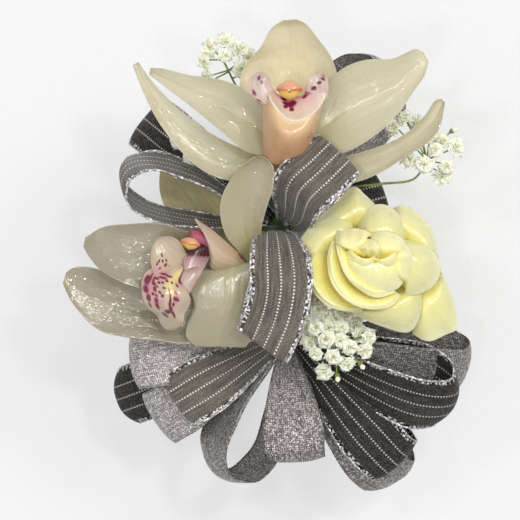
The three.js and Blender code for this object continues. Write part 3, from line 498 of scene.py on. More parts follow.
# Ribbons. Both read the piece's map, in millimetres along and across.
def ribbonMaterial(name, look):
    material, tree, shader = newMaterial(
        name, Metallic=look["metallic"], Sheen_Weight=look["sheen"], Specular_IOR_Level=look["specular"])
    where = addNode(tree, 'ShaderNodeTexCoord')
    weave = grouped(tree, weaveGroup, {
        "Map": where.outputs['UV'], "Pitch": look["pitch"], "Unevenness": look["uneven"],
        "Fleck": look["fleck"]})
    split = addNode(tree, 'ShaderNodeSeparateXYZ', {0: where.outputs['UV']})
    streaks = addNode(tree, 'ShaderNodeTexNoise', {
        'Vector': addNode(tree, 'ShaderNodeVectorMath', {
            0: where.outputs['UV'], 1: (0.12, 1.6, 1)}, operation='MULTIPLY').outputs[0],
        'Scale': 1.0, 'Detail': 4.0})
    body = blendColour(tree, stretch(tree, streaks.outputs[0], 0.3, 0.7), look["dark"], look["light"])
    body = blendColour(tree, calc(tree, weave["Glint"], look["glintShare"], 'MULTIPLY'), body, look["glint"])
    body = blendColour(tree, calc(tree, weave["Hole"], look["holeShare"], 'MULTIPLY'), body, look["gap"])
    if look["stripes"]:
        turned = calc(tree, split.outputs[1], look["stripes"], 'DIVIDE')
        near = calc(tree, calc(tree, calc(tree, turned, 0.5, 'ADD'), 1.0, 'FLOORED_MODULO'), 0.5, 'SUBTRACT')
        offset = calc(tree, calc(tree, near, 0, 'ABSOLUTE'), look["stripes"], 'MULTIPLY')
        thin = stretch(tree, offset, 0.27, 0.15)
        beads = calc(tree, calc(tree, split.outputs[0], 7.2, 'MULTIPLY'), 0, 'SINE')
        dotted = stretch(tree, beads, -0.3, 0.5)
        inside = calc(tree, calc(tree, split.outputs[1], 0, 'ABSOLUTE'), 6.2, 'LESS_THAN')
        stripe = calc(tree, calc(tree, thin, dotted, 'MULTIPLY'), inside, 'MULTIPLY')
        body = blendColour(tree, stripe, body, look["glint"])
        rim = stretch(tree, calc(tree, split.outputs[1], 0, 'ABSOLUTE'), 6.8, 6.95)
        twist = grouped(tree, weaveGroup, {"Map": where.outputs['UV'], "Pitch": 1.2, "Fleck": 0.5})
        thread = ramp(tree, twist["Glint"], [(0.02, look["gap"]), (0.16, look["light"]),
                                             (0.4, look["glint"])])
        body = blendColour(tree, rim, body, thread)
        stripe = calc(tree, stripe, rim, 'MAXIMUM')
        opaque = calc(tree, calc(tree, 1.0, calc(tree, weave["Hole"], look["sheer"], 'MULTIPLY'), 'SUBTRACT'),
                      look["veil"], 'MULTIPLY')
        tree.links.new(calc(tree, opaque, stripe, 'MAXIMUM'), shader.inputs['Alpha'])
    rough = stretch(tree, weave["Glint"], 0, 1, look["rough"], look["rough"] - 0.2)
    tree.links.new(body, shader.inputs['Base Color'])
    tree.links.new(rough, shader.inputs['Roughness'])
    height = calc(tree, calc(tree, weave["Height"], 0.5, 'MULTIPLY'),
                  calc(tree, weave["Glint"], look["lump"], 'MULTIPLY'))
    bumped(tree, shader, height, 0.00012)
    return material


organzaLook = {
    "metallic": 0.3, "sheen": 0.35, "specular": 0.5, "pitch": 0.42, "uneven": 0.25, "dark": paint(72, 65, 58),
    "light": paint(136, 127, 112), "glint": paint(236, 234, 232), "glintShare": 0.08,
    "gap": paint(34, 30, 26), "holeShare": 0.4, "stripes": 3.45, "sheer": 0.45, "veil": 0.6,
    "rough": 0.48, "lump": 0.1, "fleck": 0.26}
# One organza fabric in three tones: the sheer look is the loops that catch the light, and the two copies
# after it are painted darker as shade for loops that lie in shade or turn away from the lamps.
sheerOrganza = ribbonMaterial("sheerOrganza", organzaLook)
organzaHalfShaded = ribbonMaterial("organzaHalfShaded", {
    **organzaLook, "sheen": 0.15, "dark": paint(50, 45, 40), "light": paint(104, 96, 84), "veil": 0.78})
organzaInShade = ribbonMaterial("organzaInShade", {
    **organzaLook, "metallic": 0.0, "sheen": 0.0, "specular": 0.2, "dark": paint(14, 13, 12),
    "light": paint(52, 48, 45), "glint": paint(206, 203, 200), "glintShare": 0.1,
    "gap": paint(10, 9, 8), "holeShare": 0.5, "sheer": 0.25, "veil": 0.92})
lameLook = {
    "metallic": 0.4, "sheen": 0.12, "specular": 0.5, "pitch": 0.6, "uneven": 0.2,
    "dark": paint(116, 108, 106), "light": paint(176, 167, 166), "glint": paint(254, 252, 252),
    "glintShare": 0.7, "gap": paint(58, 52, 51), "holeShare": 0.75, "stripes": None, "rough": 0.46,
    "lump": 0.3, "fleck": 0.34}
# One lamé in two tones: the second copy is painted darker, as painted shade for the loops low down and at the
# right.
silverLame = ribbonMaterial("silverLame", lameLook)
lameInShade = ribbonMaterial("lameInShade", {
    **lameLook, "sheen": 0.06, "dark": paint(72, 67, 64), "light": paint(132, 124, 120),
    "glint": paint(246, 242, 242), "glintShare": 0.62, "gap": paint(34, 30, 29)})


def threadMaterial(name, dark, bright):
    material, tree, shader = newMaterial(name, Metallic=0.45, Specular_IOR_Level=0.6)
    where = addNode(tree, 'ShaderNodeTexCoord')
    weave = grouped(tree, weaveGroup, {"Map": where.outputs['UV'], "Pitch": 1.6, "Unevenness": 0.8,
                                       "Fleck": 0.7})
    body = blendColour(tree, stretch(tree, weave["Glint"], 0, 0.3), dark, bright)
    tree.links.new(body, shader.inputs['Base Color'])
    tree.links.new(stretch(tree, weave["Glint"], 0, 1, 0.42, 0.14), shader.inputs['Roughness'])
    bumped(tree, shader, weave["Height"], 0.00015)
    return material


silverThread = threadMaterial("silverThread", paint(150, 142, 144), paint(252, 250, 252))
darkThread = threadMaterial("darkThread", paint(62, 56, 58), paint(150, 144, 146))


def greenMaterial(name, dark, light, rough=0.55, scale=700.0, distance=0.00012):
    material, tree, shader = newMaterial(name, Subsurface_Weight=0.05, Specular_IOR_Level=0.4)
    where = addNode(tree, 'ShaderNodeTexCoord')
    grain = grouped(tree, fibreGroup, {"Place": where.outputs['Object'], "Scale": scale})
    skin = grouped(tree, skinGroup, {
        "Place": where.outputs['Object'], "Dry": rough + 0.1, "Wet": rough - 0.1})
    tree.links.new(blendColour(tree, stretch(tree, grain["Tone"], 0.35, 0.65), dark, light),
                   shader.inputs['Base Color'])
    tree.links.new(skin["Roughness"], shader.inputs['Roughness'])
    bumped(tree, shader, grain["Height"], distance)
    return material


stemGreen = greenMaterial("stemGreen", paint(82, 104, 38), paint(138, 156, 76))
cutStem = greenMaterial("cutStem", paint(150, 158, 104), paint(198, 202, 150), 0.6)
floralTape = greenMaterial("floralTape", paint(58, 92, 52), paint(86, 124, 74), 0.6, 380.0, 0.0003)
columnSkin = greenMaterial("columnSkin", paint(206, 160, 160), paint(222, 196, 168), 0.4)
hoodSkin = greenMaterial("hoodSkin", paint(158, 62, 92), paint(196, 116, 132), 0.4)


def floretMaterial():
    material, tree, shader = newMaterial("floretWhite", Subsurface_Weight=0.25,
                                         Subsurface_Scale=0.0012, Specular_IOR_Level=0.35)
    where = addNode(tree, 'ShaderNodeTexCoord')
    skin = grouped(tree, skinGroup, {"Place": where.outputs['Object'], "Dry": 0.6, "Wet": 0.4})
    veins = grouped(tree, veinGroup, {"Map": where.outputs['UV'], "Count": 8.0})
    split = addNode(tree, 'ShaderNodeSeparateXYZ', {0: where.outputs['UV']})
    body = ramp(tree, split.outputs[0], [(0, paint(226, 226, 178)), (0.2, paint(236, 235, 206)),
                                         (0.6, paint(248, 244, 220)), (1, paint(252, 249, 230))])
    body = blendColour(tree, calc(tree, veins["Vein"], 0.25, 'MULTIPLY'), body, paint(214, 214, 178))
    tree.links.new(body, shader.inputs['Base Color'])
    tree.links.new(skin["Roughness"], shader.inputs['Roughness'])
    bumped(tree, shader, veins["Vein"], 0.00008)
    return material


floretWhite = floretMaterial()


def antherMaterial():
    material, tree, shader = newMaterial("antherCap", Subsurface_Weight=0.2, Subsurface_Scale=0.001,
                                         Coat_Weight=0.5, Coat_Roughness=0.1)
    where = addNode(tree, 'ShaderNodeTexCoord')
    skin = grouped(tree, skinGroup, {"Place": where.outputs['Object'], "Dry": 0.35, "Wet": 0.2})
    split = addNode(tree, 'ShaderNodeSeparateXYZ', {0: where.outputs['UV']})
    # the map's first number runs from the cap's yellow face to its orange back
    body = ramp(tree, split.outputs[0], [(0, paint(120, 78, 20)), (0.12, paint(196, 150, 60)),
                                         (0.42, paint(222, 186, 92)), (0.56, paint(176, 92, 50)),
                                         (0.7, paint(214, 148, 108)), (1, paint(216, 164, 130))])
    tree.links.new(body, shader.inputs['Base Color'])
    tree.links.new(skin["Roughness"], shader.inputs['Roughness'])
    bumped(tree, shader, skin["Height"], 0.00012)
    return material


antherCap = antherMaterial()


def metalMaterial(name, colour, scratched, rough):
    material, tree, shader = newMaterial(name, Metallic=0.85)
    where = addNode(tree, 'ShaderNodeTexCoord')
    grain = grouped(tree, fibreGroup, {
        "Place": where.outputs['Object'], "Scale": 900.0, "Stretch": (0.08, 1, 1)})
    tree.links.new(blendColour(tree, stretch(tree, grain["Tone"], 0.4, 0.7), colour, scratched),
                   shader.inputs['Base Color'])
    tree.links.new(stretch(tree, grain["Tone"], 0.3, 0.7, rough - 0.08, rough + 0.1),
                   shader.inputs['Roughness'])
    bumped(tree, shader, grain["Height"], 0.00003)
    return material


platedSteel = metalMaterial("platedSteel", paint(176, 176, 178), paint(214, 214, 216), 0.32)
tieWireSteel = metalMaterial("tieWireSteel", paint(70, 84, 66), paint(120, 132, 112), 0.4)


def elasticMaterial():
    material, tree, shader = newMaterial("silverElastic", Metallic=0.2, Sheen_Weight=0.3)
    where = addNode(tree, 'ShaderNodeTexCoord')
    weave = grouped(tree, weaveGroup, {"Map": where.outputs['UV'], "Pitch": 0.8, "Unevenness": 0.15,
                                       "Fleck": 0.3})
    body = blendColour(tree, weave["Glint"], paint(176, 171, 170), paint(216, 213, 212))
    body = blendColour(tree, calc(tree, weave["Hole"], 0.4, 'MULTIPLY'), body, paint(120, 116, 114))
    tree.links.new(body, shader.inputs['Base Color'])
    tree.links.new(stretch(tree, weave["Glint"], 0, 1, 0.62, 0.35), shader.inputs['Roughness'])
    bumped(tree, shader, weave["Height"], 0.00015)
    return material


silverElastic = elasticMaterial()


# Floor and white surround
def stageMaterial():
    material, tree, shader = newMaterial("paperFloor", Roughness=0.9, Specular_IOR_Level=0.1)
    where = addNode(tree, 'ShaderNodeTexCoord')
    tooth = addNode(tree, 'ShaderNodeTexNoise', {
        'Vector': where.outputs['Object'], 'Scale': 420.0, 'Detail': 3.0})
    shader.inputs['Base Color'].default_value = (0.86, 0.86, 0.86, 1)
    bumped(tree, shader, tooth.outputs[0], 0.0004)
    glow = addNode(tree, 'ShaderNodeEmission', {'Color': (*surround["backdrop"], 1), 'Strength': 1.0})
    share = addNode(tree, 'ShaderNodeLightPath').outputs['Is Camera Ray']
    mixed = addNode(tree, 'ShaderNodeMixShader', {
        0: calc(tree, share, 0.6, 'MULTIPLY'), 1: shader.outputs[0], 2: glow.outputs[0]})
    tree.links.new(mixed.outputs[0], tree.nodes['Material Output'].inputs['Surface'])
    return material


def buildStage():
    half = 1.2
    mesh = bpy.data.meshes.new("paperFloor")
    mesh.from_pydata([(-half, -half, 0), (half, -half, 0), (half, half, 0), (-half, half, 0)], [],
                     [(0, 1, 2, 3)])
    mesh.materials.append(stageMaterial())
    floor = bpy.data.objects.new("paperFloor", mesh)
    scene.collection.objects.link(floor)
    world = bpy.data.worlds.new("studio")
    world.use_nodes = True
    scene.world = world
    tree = world.node_tree
    path = addNode(tree, 'ShaderNodeLightPath')
    seen = calc(tree, calc(tree, path.outputs['Is Camera Ray'], path.outputs['Is Glossy Ray'], 'MAXIMUM'),
                path.outputs['Is Transmission Ray'], 'MAXIMUM')
    back = tree.nodes["Background"]
    tree.links.new(blendColour(tree, seen, surround["world"], surround["backdrop"]), back.inputs[0])


buildStage()
print("camera, lights, stage and materials made")


# Shapes. A run of stations is joined by cubics whose slope at a station is half the step
# between its neighbours.
def smooth(stations, u):
    stations = np.asarray(stations, float)
    if stations.ndim == 1:
        stations = stations[:, None]
        return smooth(stations, u)[..., 0]
    last = len(stations) - 1
    slope = np.empty_like(stations)
    slope[1:-1] = (stations[2:] - stations[:-2]) / 2
    slope[0], slope[-1] = stations[1] - stations[0], stations[-1] - stations[-2]
    place = np.clip(np.asarray(u, float), 0, 1) * last
    k = np.minimum(place.astype(int), last - 1)
    t = (place - k)[..., None]
    start, end, leave, arrive = stations[k], stations[k + 1], slope[k], slope[k + 1]
    return ((2 * t ** 3 - 3 * t ** 2 + 1) * start + (t ** 3 - 2 * t ** 2 + t) * leave
            + (3 * t ** 2 - 2 * t ** 3) * end + (t ** 3 - t ** 2) * arrive)


# A point of the picture at a height, in metres: the ray through it meets that height.
def onPicture(px, py, height):
    view = cameraView
    height = np.asarray(height, float)
    point = view["width"] / view["side"] * (view["plane"] + view["distance"] - height) / view["distance"]
    return np.stack([view["right"] + (px - view["side"] / 2) * point,
                     view["forward"] - (py - view["side"] / 2) * point, height], axis=-1)


def crossed(grid):  # unit normals of a grid of points
    normal = np.cross(np.gradient(grid, axis=0), np.gradient(grid, axis=1))
    return normal / np.maximum(np.linalg.norm(normal, axis=-1, keepdims=True), 1e-12)


def gridFaces(rows, columns, closedRows=False, closedColumns=False):
    i = np.arange(rows if closedRows else rows - 1)[:, None]
    j = np.arange(columns if closedColumns else columns - 1)[None, :]
    a, b = i * columns + j, (i + 1) % rows * columns + j
    c, d = (i + 1) % rows * columns + (j + 1) % columns, i * columns + (j + 1) % columns
    return np.stack([a, b, c, d], axis=-1).reshape(-1, 4)


def meshObject(name, points, faces, uv, materials, indices=None, levels=0):
    mesh = bpy.data.meshes.new(name)
    points, faces = np.asarray(points, np.float32).reshape(-1, 3), np.asarray(faces, np.int32)
    mesh.vertices.add(len(points))
    mesh.vertices.foreach_set("co", points.ravel())
    sides = faces.shape[1]
    mesh.loops.add(faces.size)
    mesh.loops.foreach_set("vertex_index", faces.ravel())
    mesh.polygons.add(len(faces))
    mesh.polygons.foreach_set("loop_start", np.arange(0, faces.size, sides, dtype=np.int32))
    mesh.polygons.foreach_set("loop_total", np.full(len(faces), sides, dtype=np.int32))
    mesh.update(calc_edges=True)
    layer = mesh.uv_layers.new(name="map")
    layer.data.foreach_set("uv", np.asarray(uv, np.float32).reshape(-1, 2)[faces.ravel()].ravel())
    for material in materials:
        mesh.materials.append(material)
    if indices is not None:
        mesh.polygons.foreach_set("material_index", np.asarray(indices, np.int32))
    mesh.polygons.foreach_set("use_smooth", np.ones(len(faces), dtype=bool))
    mesh.validate()
    made = bpy.data.objects.new(name, mesh)
    scene.collection.objects.link(made)
    if levels:
        skin = made.modifiers.new("smoothSkin", 'SUBSURF')
        skin.levels = skin.render_levels = levels
    return made


# A leaf-like shell: the grid is its upper face, the lower face lies one thickness under it
# along the normal, and the two share their border through a ring of side faces.
def shell(name, grid, uv, thickness, material, levels=1):
    rows, columns = grid.shape[:2]
    normal = crossed(grid)
    if normal[..., 2].mean() < 0:
        grid, uv, thickness = grid[:, ::-1], uv[:, ::-1], thickness[:, ::-1]
        normal = crossed(grid)
    under = grid - normal * thickness[..., None]
    count = rows * columns
    top = gridFaces(rows, columns)
    around = np.concatenate([
        np.arange(columns), np.arange(1, rows) * columns + columns - 1,
        (rows - 1) * columns + np.arange(columns - 2, -1, -1), np.arange(rows - 2, 0, -1) * columns])
    after = np.roll(around, -1)
    side = np.stack([around, after, after + count, around + count], axis=1)
    return meshObject(name, np.concatenate([grid.reshape(-1, 3), under.reshape(-1, 3)]),
                      np.concatenate([top, top[:, ::-1] + count, side]),
                      np.concatenate([uv.reshape(-1, 2)] * 2), [material], levels=levels)


# A petal between two edges drawn on the picture, from foot to tip. Its height is the lift
# of the middle line, plus cup times v squared, plus lean times v, less a groove along the
# middle, plus ripples that grow towards the rim.
def petalGrid(look, rows=30, columns=19):
    u, v = np.meshgrid(np.linspace(0, 1, rows), np.linspace(-1, 1, columns), indexing='ij')
    edgeA, edgeB = smooth(look["edgeA"], u), smooth(look["edgeB"], u)
    share = (v[..., None] + 1) / 2
    flat = edgeA + (edgeB - edgeA) * share
    height = smooth(look["lift"], u) + smooth(look["cup"], u) * v ** 2
    height = height + smooth(look.get("lean", [0, 0]), u) * v
    height = height - look.get("groove", 0.35) * np.exp(-(v / 0.14) ** 2) * np.sin(math.pi * u)
    phase = look.get("phase", 0.0)
    wave = np.sin(u * look.get("waves", 7.0) + 2.2 * v + phase) + 0.5 * np.sin(u * 15.0 - 3 * v + phase * 2)
    height = height + look.get("ripple", 0.25) * wave * (0.25 + np.abs(v) ** 3) * np.sin(math.pi * u) ** 0.5
    return onPicture(flat[..., 0], flat[..., 1], height / 1000), np.stack([u, v], axis=-1)


def petal(name, look, material, thickness=0.9, rows=30, columns=19):
    grid, uv = petalGrid(look, rows, columns)
    u, v = uv[..., 0], uv[..., 1]
    wall = thickness * (0.3 + 0.7 * (1 - np.abs(v) ** 4) * (1 - u ** 6)) / 1000
    return shell(name, grid, uv, wall, material)


# A round bar along a line of stations. Its radius comes from a second run of stations.
def bar(stations, radii, rows, sides):
    u = np.linspace(0, 1, rows)
    line, radius = smooth(stations, u), smooth(np.asarray(radii, float), u)
    ahead = np.gradient(line, axis=0)
    ahead /= np.linalg.norm(ahead, axis=1, keepdims=True)
    hint = np.array([0.0, 0, 1]) if abs(ahead[:, 2]).mean() < 0.8 else np.array([1.0, 0, 0])
    first = np.cross(hint, ahead)
    first /= np.linalg.norm(first, axis=1, keepdims=True)
    second = np.cross(ahead, first)
    angle = np.linspace(0, 2 * math.pi, sides, endpoint=False)
    ring = first[:, None] * np.cos(angle)[None, :, None] + second[:, None] * np.sin(angle)[None, :, None]
    points = line[:, None] + ring * radius[:, None, None]
    # both ends run in to a point on the line, so the poles are closed
    points = np.concatenate([np.repeat(line[None, :1], sides, axis=1), points,
                             np.repeat(line[None, -1:], sides, axis=1)])
    uv = np.stack(np.broadcast_arrays(np.linspace(0, 1, len(points))[:, None],
                                      np.linspace(0, 1, sides)[None, :]), axis=-1)
    faces = gridFaces(len(points), sides, closedColumns=True)[:, ::-1]
    return points.reshape(-1, 3), faces, uv.reshape(-1, 2)


def joinParts(parts):
    points, faces, uv, indices, start = [], [], [], [], 0
    for part in parts:
        points.append(np.asarray(part[0]).reshape(-1, 3))
        faces.append(np.asarray(part[1]) + start)
        uv.append(np.asarray(part[2]).reshape(-1, 2))
        indices.append(np.full(len(part[1]), part[3] if len(part) > 3 else 0))
        start += len(points[-1])
    return np.concatenate(points), np.concatenate(faces), np.concatenate(uv), np.concatenate(indices)


def tidyPoles(made):  # the doubled points at a closed pole become one
    mesh = bmesh.new()
    mesh.from_mesh(made.data)
    bmesh.ops.remove_doubles(mesh, verts=mesh.verts, dist=1e-6)
    bmesh.ops.dissolve_degenerate(mesh, edges=mesh.edges, dist=1e-7)
    mesh.to_mesh(made.data)
    mesh.free()
    return made


def settle(made, body, slot, *nodes):
    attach(made, body)
    if nodes:
        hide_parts(*nodes)
    return made


# Top orchid, seen from the front. Edges are points of the picture, heights are millimetres.
topOrchid = {
    "dorsal_sepal": {
        "edgeA": [(281, 146), (262, 126), (243, 98), (240, 80), (247, 62), (261, 47), (271, 29), (284, 20.5)],
        "edgeB": [(296, 146), (320, 126), (338, 98), (337, 74), (330, 55), (319, 40), (307, 25), (297, 20)],
        "lift": [66.6, 67.0, 67.6, 68.4, 69.8, 71.8, 74.6, 77.4], "cup": [1.2, 3.5, 5, 5, 4.6, 3.4, 2, 0.4],
        "ripple": 0.3, "phase": 0.4, "groove": 0.5},
    "left_petal": {
        "edgeA": [(284, 138), (262, 106), (240, 87), (217, 79), (188, 75), (164, 69), (150, 68)],
        "edgeB": [(282, 156), (262, 156), (242, 149), (215, 126), (190, 105), (168, 89), (149, 74)],
        "lift": [68.6, 70.4, 71.6, 72, 71.8, 70.4, 68.4], "cup": [0.6, 1.8, 2.6, 2.4, 1.6, 1, 0.3],
        "ripple": 0.3, "phase": 1.7},
    "right_petal": {
        "edgeA": [(294, 138), (316, 100), (338, 72), (364, 60), (391, 59), (404, 54), (416, 49), (424, 53)],
        "edgeB": [(298, 156), (326, 158), (351, 150), (377, 134), (399, 113), (412, 93), (424, 76),
                  (428, 61)],
        "lift": [68.6, 70.6, 71.8, 72.2, 72.4, 72.2, 71.8, 71.2],
        "cup": [0.6, 2.6, 3.6, 3.4, 2.8, 2, 1.2, 0.4],
        "ripple": 0.45, "phase": 3.1, "waves": 9.0},
    "left_lateral_sepal": {
        "edgeA": [(286, 152), (262, 152), (238, 147), (213, 135), (190, 118), (168, 99), (150, 79),
                  (138, 62)],
        "edgeB": [(284, 166), (258, 181), (231, 181), (204, 171), (181, 151), (160, 124), (146, 97),
                  (133, 65)],
        "lift": [66.4, 66.0, 66.2, 66.4, 66.8, 67.6, 69, 70.6], "cup": [0.4, 1.2, 1.8, 1.8, 1.6, 1.4, 1, 0.3],
        "ripple": 0.3, "phase": 2.4},
    "right_lateral_sepal": {
        "edgeA": [(294, 156), (320, 160), (344, 157), (387, 144), (409, 132), (426, 115), (435, 101),
                  (442, 99.5)],
        "edgeB": [(296, 172), (328, 184), (360, 181), (386, 169), (405, 156), (425, 144), (439, 128),
                  (444.5, 102)],
        "lift": [66.4, 66.2, 66.6, 67.4, 68.2, 69.4, 71, 72.4], "cup": [0.4, 1.2, 1.6, 1.8, 2, 2.6, 2.4, 0.8],
        "ripple": 0.25, "phase": 0.9},
}
for part, look in topOrchid.items():
    skin = topTepal if part == "dorsal_sepal" else sideTepal
    settle(petal("topOrchid_" + part, look, skin), "top_orchid", "tepal", "top_orchid_" + part)

# Left orchid, turned to the left. Its sepal at the right folds over towards the viewer.
leftOrchid = {
    "left_petal": ({
        "edgeA": [(246, 260), (212, 240), (180, 229), (160, 223), (130, 224), (103, 227), (85, 238)],
        "edgeB": [(244, 274), (215, 286), (180, 292), (140, 289), (106, 274), (90, 258), (83, 246)],
        "lift": [66.4, 68.6, 70, 70.6, 70.2, 69, 67.2], "cup": [0.8, 1.8, 2.4, 2.2, 1.8, 1.2, 0.4],
        "ripple": 0.3, "phase": 0.2}, leftTepalInShade),
    "right_petal": ({
        "edgeA": [(238, 268), (240, 254), (226, 236), (220, 212), (224, 191), (238, 170), (250, 160),
                  (256, 157)],
        "edgeB": [(264, 266), (261, 240), (262, 224), (268, 203), (273, 188), (274, 170), (268, 160),
                  (259, 156)],
        "lift": [66.0, 67.4, 69, 70.6, 72, 73.2, 74.4, 75.2], "cup": [0.6, 1.6, 2.2, 2.4, 2.4, 2, 1.2, 0.4],
        "lean": [0, 0.6, 1, 1, 0.8, 0.6, 0.3, 0], "ripple": 0.25, "phase": 2.8}, foldTepalInShade),
    "dorsal_sepal": ({
        "edgeA": [(240, 262), (206, 246), (182, 234), (168, 214), (160, 192), (160, 172), (164, 158)],
        "edgeB": [(250, 248), (234, 226), (226, 205), (210, 182), (190, 166), (176, 158), (168, 156)],
        "lift": [62.5, 54, 49.5, 46.5, 44.5, 43, 42], "cup": [1, 2, 3, 3, 2.4, 1.4, 0.4],
        "ripple": 0.3, "phase": 1.1, "groove": 0.7}, greenTepal),
    "left_lateral_sepal": ({
        "edgeA": [(240, 274), (205, 282), (160, 282), (120, 277), (94, 268), (76, 267), (66, 273)],
        "edgeB": [(240, 300), (215, 332), (187, 344), (160, 341), (124, 337), (97, 329), (74, 305),
                  (63, 283)],
        "lift": [65, 65.2, 65.4, 65.6, 65.6, 65.8, 66.2, 66.6], "cup": [0.6, 1.4, 2, 2.2, 2, 1.8, 1.2, 0.4],
        "ripple": 0.35, "phase": 4.1}, leftTepalInShade),
    "right_lateral_sepal": ({
        "edgeA": [(222, 278), (202, 269), (194, 272), (189, 288), (194, 306), (187, 324), (186, 338),
                  (196, 347)],
        "edgeB": [(262, 276), (279, 262), (279, 258), (276, 272), (268, 296), (258, 320), (252, 338),
                  (246, 348)],
        "lift": [66, 68.6, 71.4, 72.8, 72.4, 70.8, 69, 67.4],
        "cup": [0, -0.6, -0.8, -1.2, -1.4, -1.2, -0.8, -0.3],
        "ripple": 0.35, "phase": 5.0, "groove": -0.4}, foldTepalInShade),
}
for part, (look, skin) in leftOrchid.items():
    settle(petal("leftOrchid_" + part, look, skin, rows=34), "left_orchid", "tepal", "left_orchid_" + part)
print("orchid petals made")


# A skin ruled between two curves on the picture: from the low curve to the high one, raised
# by a bulge that is greatest in the middle.
def ruledGrid(look, rows=22, columns=25):
    u, v = np.meshgrid(np.linspace(0, 1, rows), np.linspace(-1, 1, columns), indexing='ij')
    low, high = smooth(look["low"], (v + 1) / 2), smooth(look["high"], (v + 1) / 2)
    flat = low[..., :2] + (high[..., :2] - low[..., :2]) * u[..., None]
    height = low[..., 2] + (high[..., 2] - low[..., 2]) * smooth(look.get("rise", [0, 0.5, 1]), u)
    height = height + smooth(look["bulge"], u) * (1 - v ** 2)
    return onPicture(flat[..., 0], flat[..., 1], height / 1000), np.stack([u, v], axis=-1)


def ruled(name, look, material, thickness=0.6, rows=22, columns=25):
    grid, uv = ruledGrid(look, rows, columns)
    return shell(name, grid, uv, np.full(uv.shape[:2], thickness / 1000), material)


lipParts = {
    "topTube": ("top_orchid", peachTube, {
        "low": [(263, 164, 70), (270, 165, 70), (284, 166, 70), (298, 166, 70), (308, 164, 70)],
        "high": [(262, 100, 82), (271, 99, 86.5), (287, 119.5, 88), (303, 119, 88), (316, 111, 86.5),
                 (325, 100, 82)],
        "rise": [0, 0.42, 0.8, 1], "bulge": [5.5, 6, 4.5, 0]}),
    "topApron": ("top_orchid", whiteApron, {
        "low": [(269, 93, 86.5), (272, 101, 87.2), (279, 111, 87.8), (290, 120, 88.4), (303, 119, 88.4),
                (316, 111, 87.2), (326, 98, 86)],
        "high": [(272, 90, 85), (276, 93, 84), (282, 96, 83), (290, 97, 82.6), (299, 96, 83), (311, 90, 84.5),
                 (327, 80, 86)],
        "bulge": [0, -0.8, -0.6, 0]}),
}
for part, (body, skin, look) in lipParts.items():
    made = ruled("topOrchid_lip_" + part, look, skin)
    settle(made, body, "lip", *(["top_orchid_lip"] if part == "topTube" else []))

lipLobes = {
    "topOrchid_lip_leftLobe": ("top_orchid", mauveLeft, {
        "edgeA": [(265, 105), (255, 100), (250, 92), (249, 84), (251, 77), (255, 73), (258, 71.5)],
        "edgeB": [(277, 98), (276, 92), (273, 87), (271, 82), (269, 77.5), (266, 74), (262, 71.5)],
        "lift": [85, 86, 86.4, 86.4, 86, 85, 84], "cup": [-0.6, -1, -0.6, 0.2, 0.8, 0.6, 0.2],
        "lean": [-0.6, -1, -1.2, -1.2, -0.8, -0.4, 0], "groove": 0.5}),
    "topOrchid_lip_rightLobe": ("top_orchid", mauveRight, {
        "edgeA": [(303, 97), (304, 91), (305.5, 85), (309, 79), (313, 75), (317, 73), (320, 72.5)],
        "edgeB": [(327, 99), (328.5, 92), (328.5, 86), (327.5, 81), (326, 77), (324, 74), (321, 72.5)],
        "lift": [84.5, 85.4, 86, 86, 85.6, 85, 84.2], "cup": [-0.4, -0.4, 0, 0.6, 0.8, 0.6, 0.2],
        "lean": [1, 1.2, 1.2, 1, 0.6, 0.3, 0], "groove": 0.4}),
    "leftOrchid_lip_rolledLobe": ("left_orchid", rolledLobe, {
        "edgeA": [(248, 264), (238, 252), (226, 241), (213, 230), (203, 223), (197, 219), (195, 218)],
        "edgeB": [(247, 268), (228, 271), (211, 269), (209.5, 257), (208, 246), (203, 233), (196, 220)],
        "lift": [69, 73.5, 76.6, 78.4, 79.6, 80.2, 80.4], "cup": [-1, -3.4, -4.2, -3.4, -2.4, -1.4, -0.3],
        "groove": 0}),
    "leftOrchid_lip_nearLobe": ("left_orchid", nearLobeSpots, {
        "edgeA": [(190, 262), (186, 252), (182, 244), (174, 238), (166, 236), (160, 237)],
        "edgeB": [(180, 288), (166, 288), (155, 276), (151, 262), (152, 248), (157, 239)],
        "lift": [74.5, 76, 77.4, 78, 77.6, 76.6], "cup": [0.4, 1.2, 1.8, 1.6, 1, 0.3], "groove": 0}),
    "leftOrchid_lip_farLobe": ("left_orchid", mauvePlain, {
        "edgeA": [(190, 266), (184, 270), (181, 276), (179, 284), (179, 291), (182, 295)],
        "edgeB": [(206, 262), (203, 272), (197, 282), (192, 290), (188, 295), (185, 297)],
        "lift": [75, 77.4, 78.4, 78.6, 78, 77], "cup": [-0.6, -1, -1.2, -1, -0.6, -0.2], "groove": 0}),
    "leftOrchid_lip_tongue": ("left_orchid", tongueSpots, {
        "edgeA": [(176, 262), (159, 265), (146, 271), (141, 281), (141.5, 292), (143, 302), (149, 310),
                  (157, 316), (160, 324), (166, 330)],
        "edgeB": [(188, 264), (187, 273), (184, 282), (188, 291), (191.5, 300), (189, 308), (185, 314),
                  (184.5, 321), (181, 327), (173, 331)],
        "lift": [75.4, 78, 79.8, 80.6, 80, 78, 75.2, 72.4],
        "cup": [-0.4, -1.2, -2, -2.6, -2.8, -2.4, -1.4, -0.4],
        "ripple": 0.9, "phase": 2.0, "waves": 13.0, "groove": -0.6}),
    "leftOrchid_lip_throat": ("left_orchid", throatRedAndShade, {
        "edgeA": [(192, 242), (190, 248), (187, 254), (184, 261), (184, 268), (187, 274)],
        "edgeB": [(211, 241), (211, 248), (210, 255), (207, 262), (204, 268), (200, 274)],
        "lift": [76.6, 74.6, 74.8, 75.6, 76, 76], "cup": [1.2, 1.8, 1.6, 1.2, 0.8, 0.4],
        "ripple": 0.2, "groove": 0}),
}
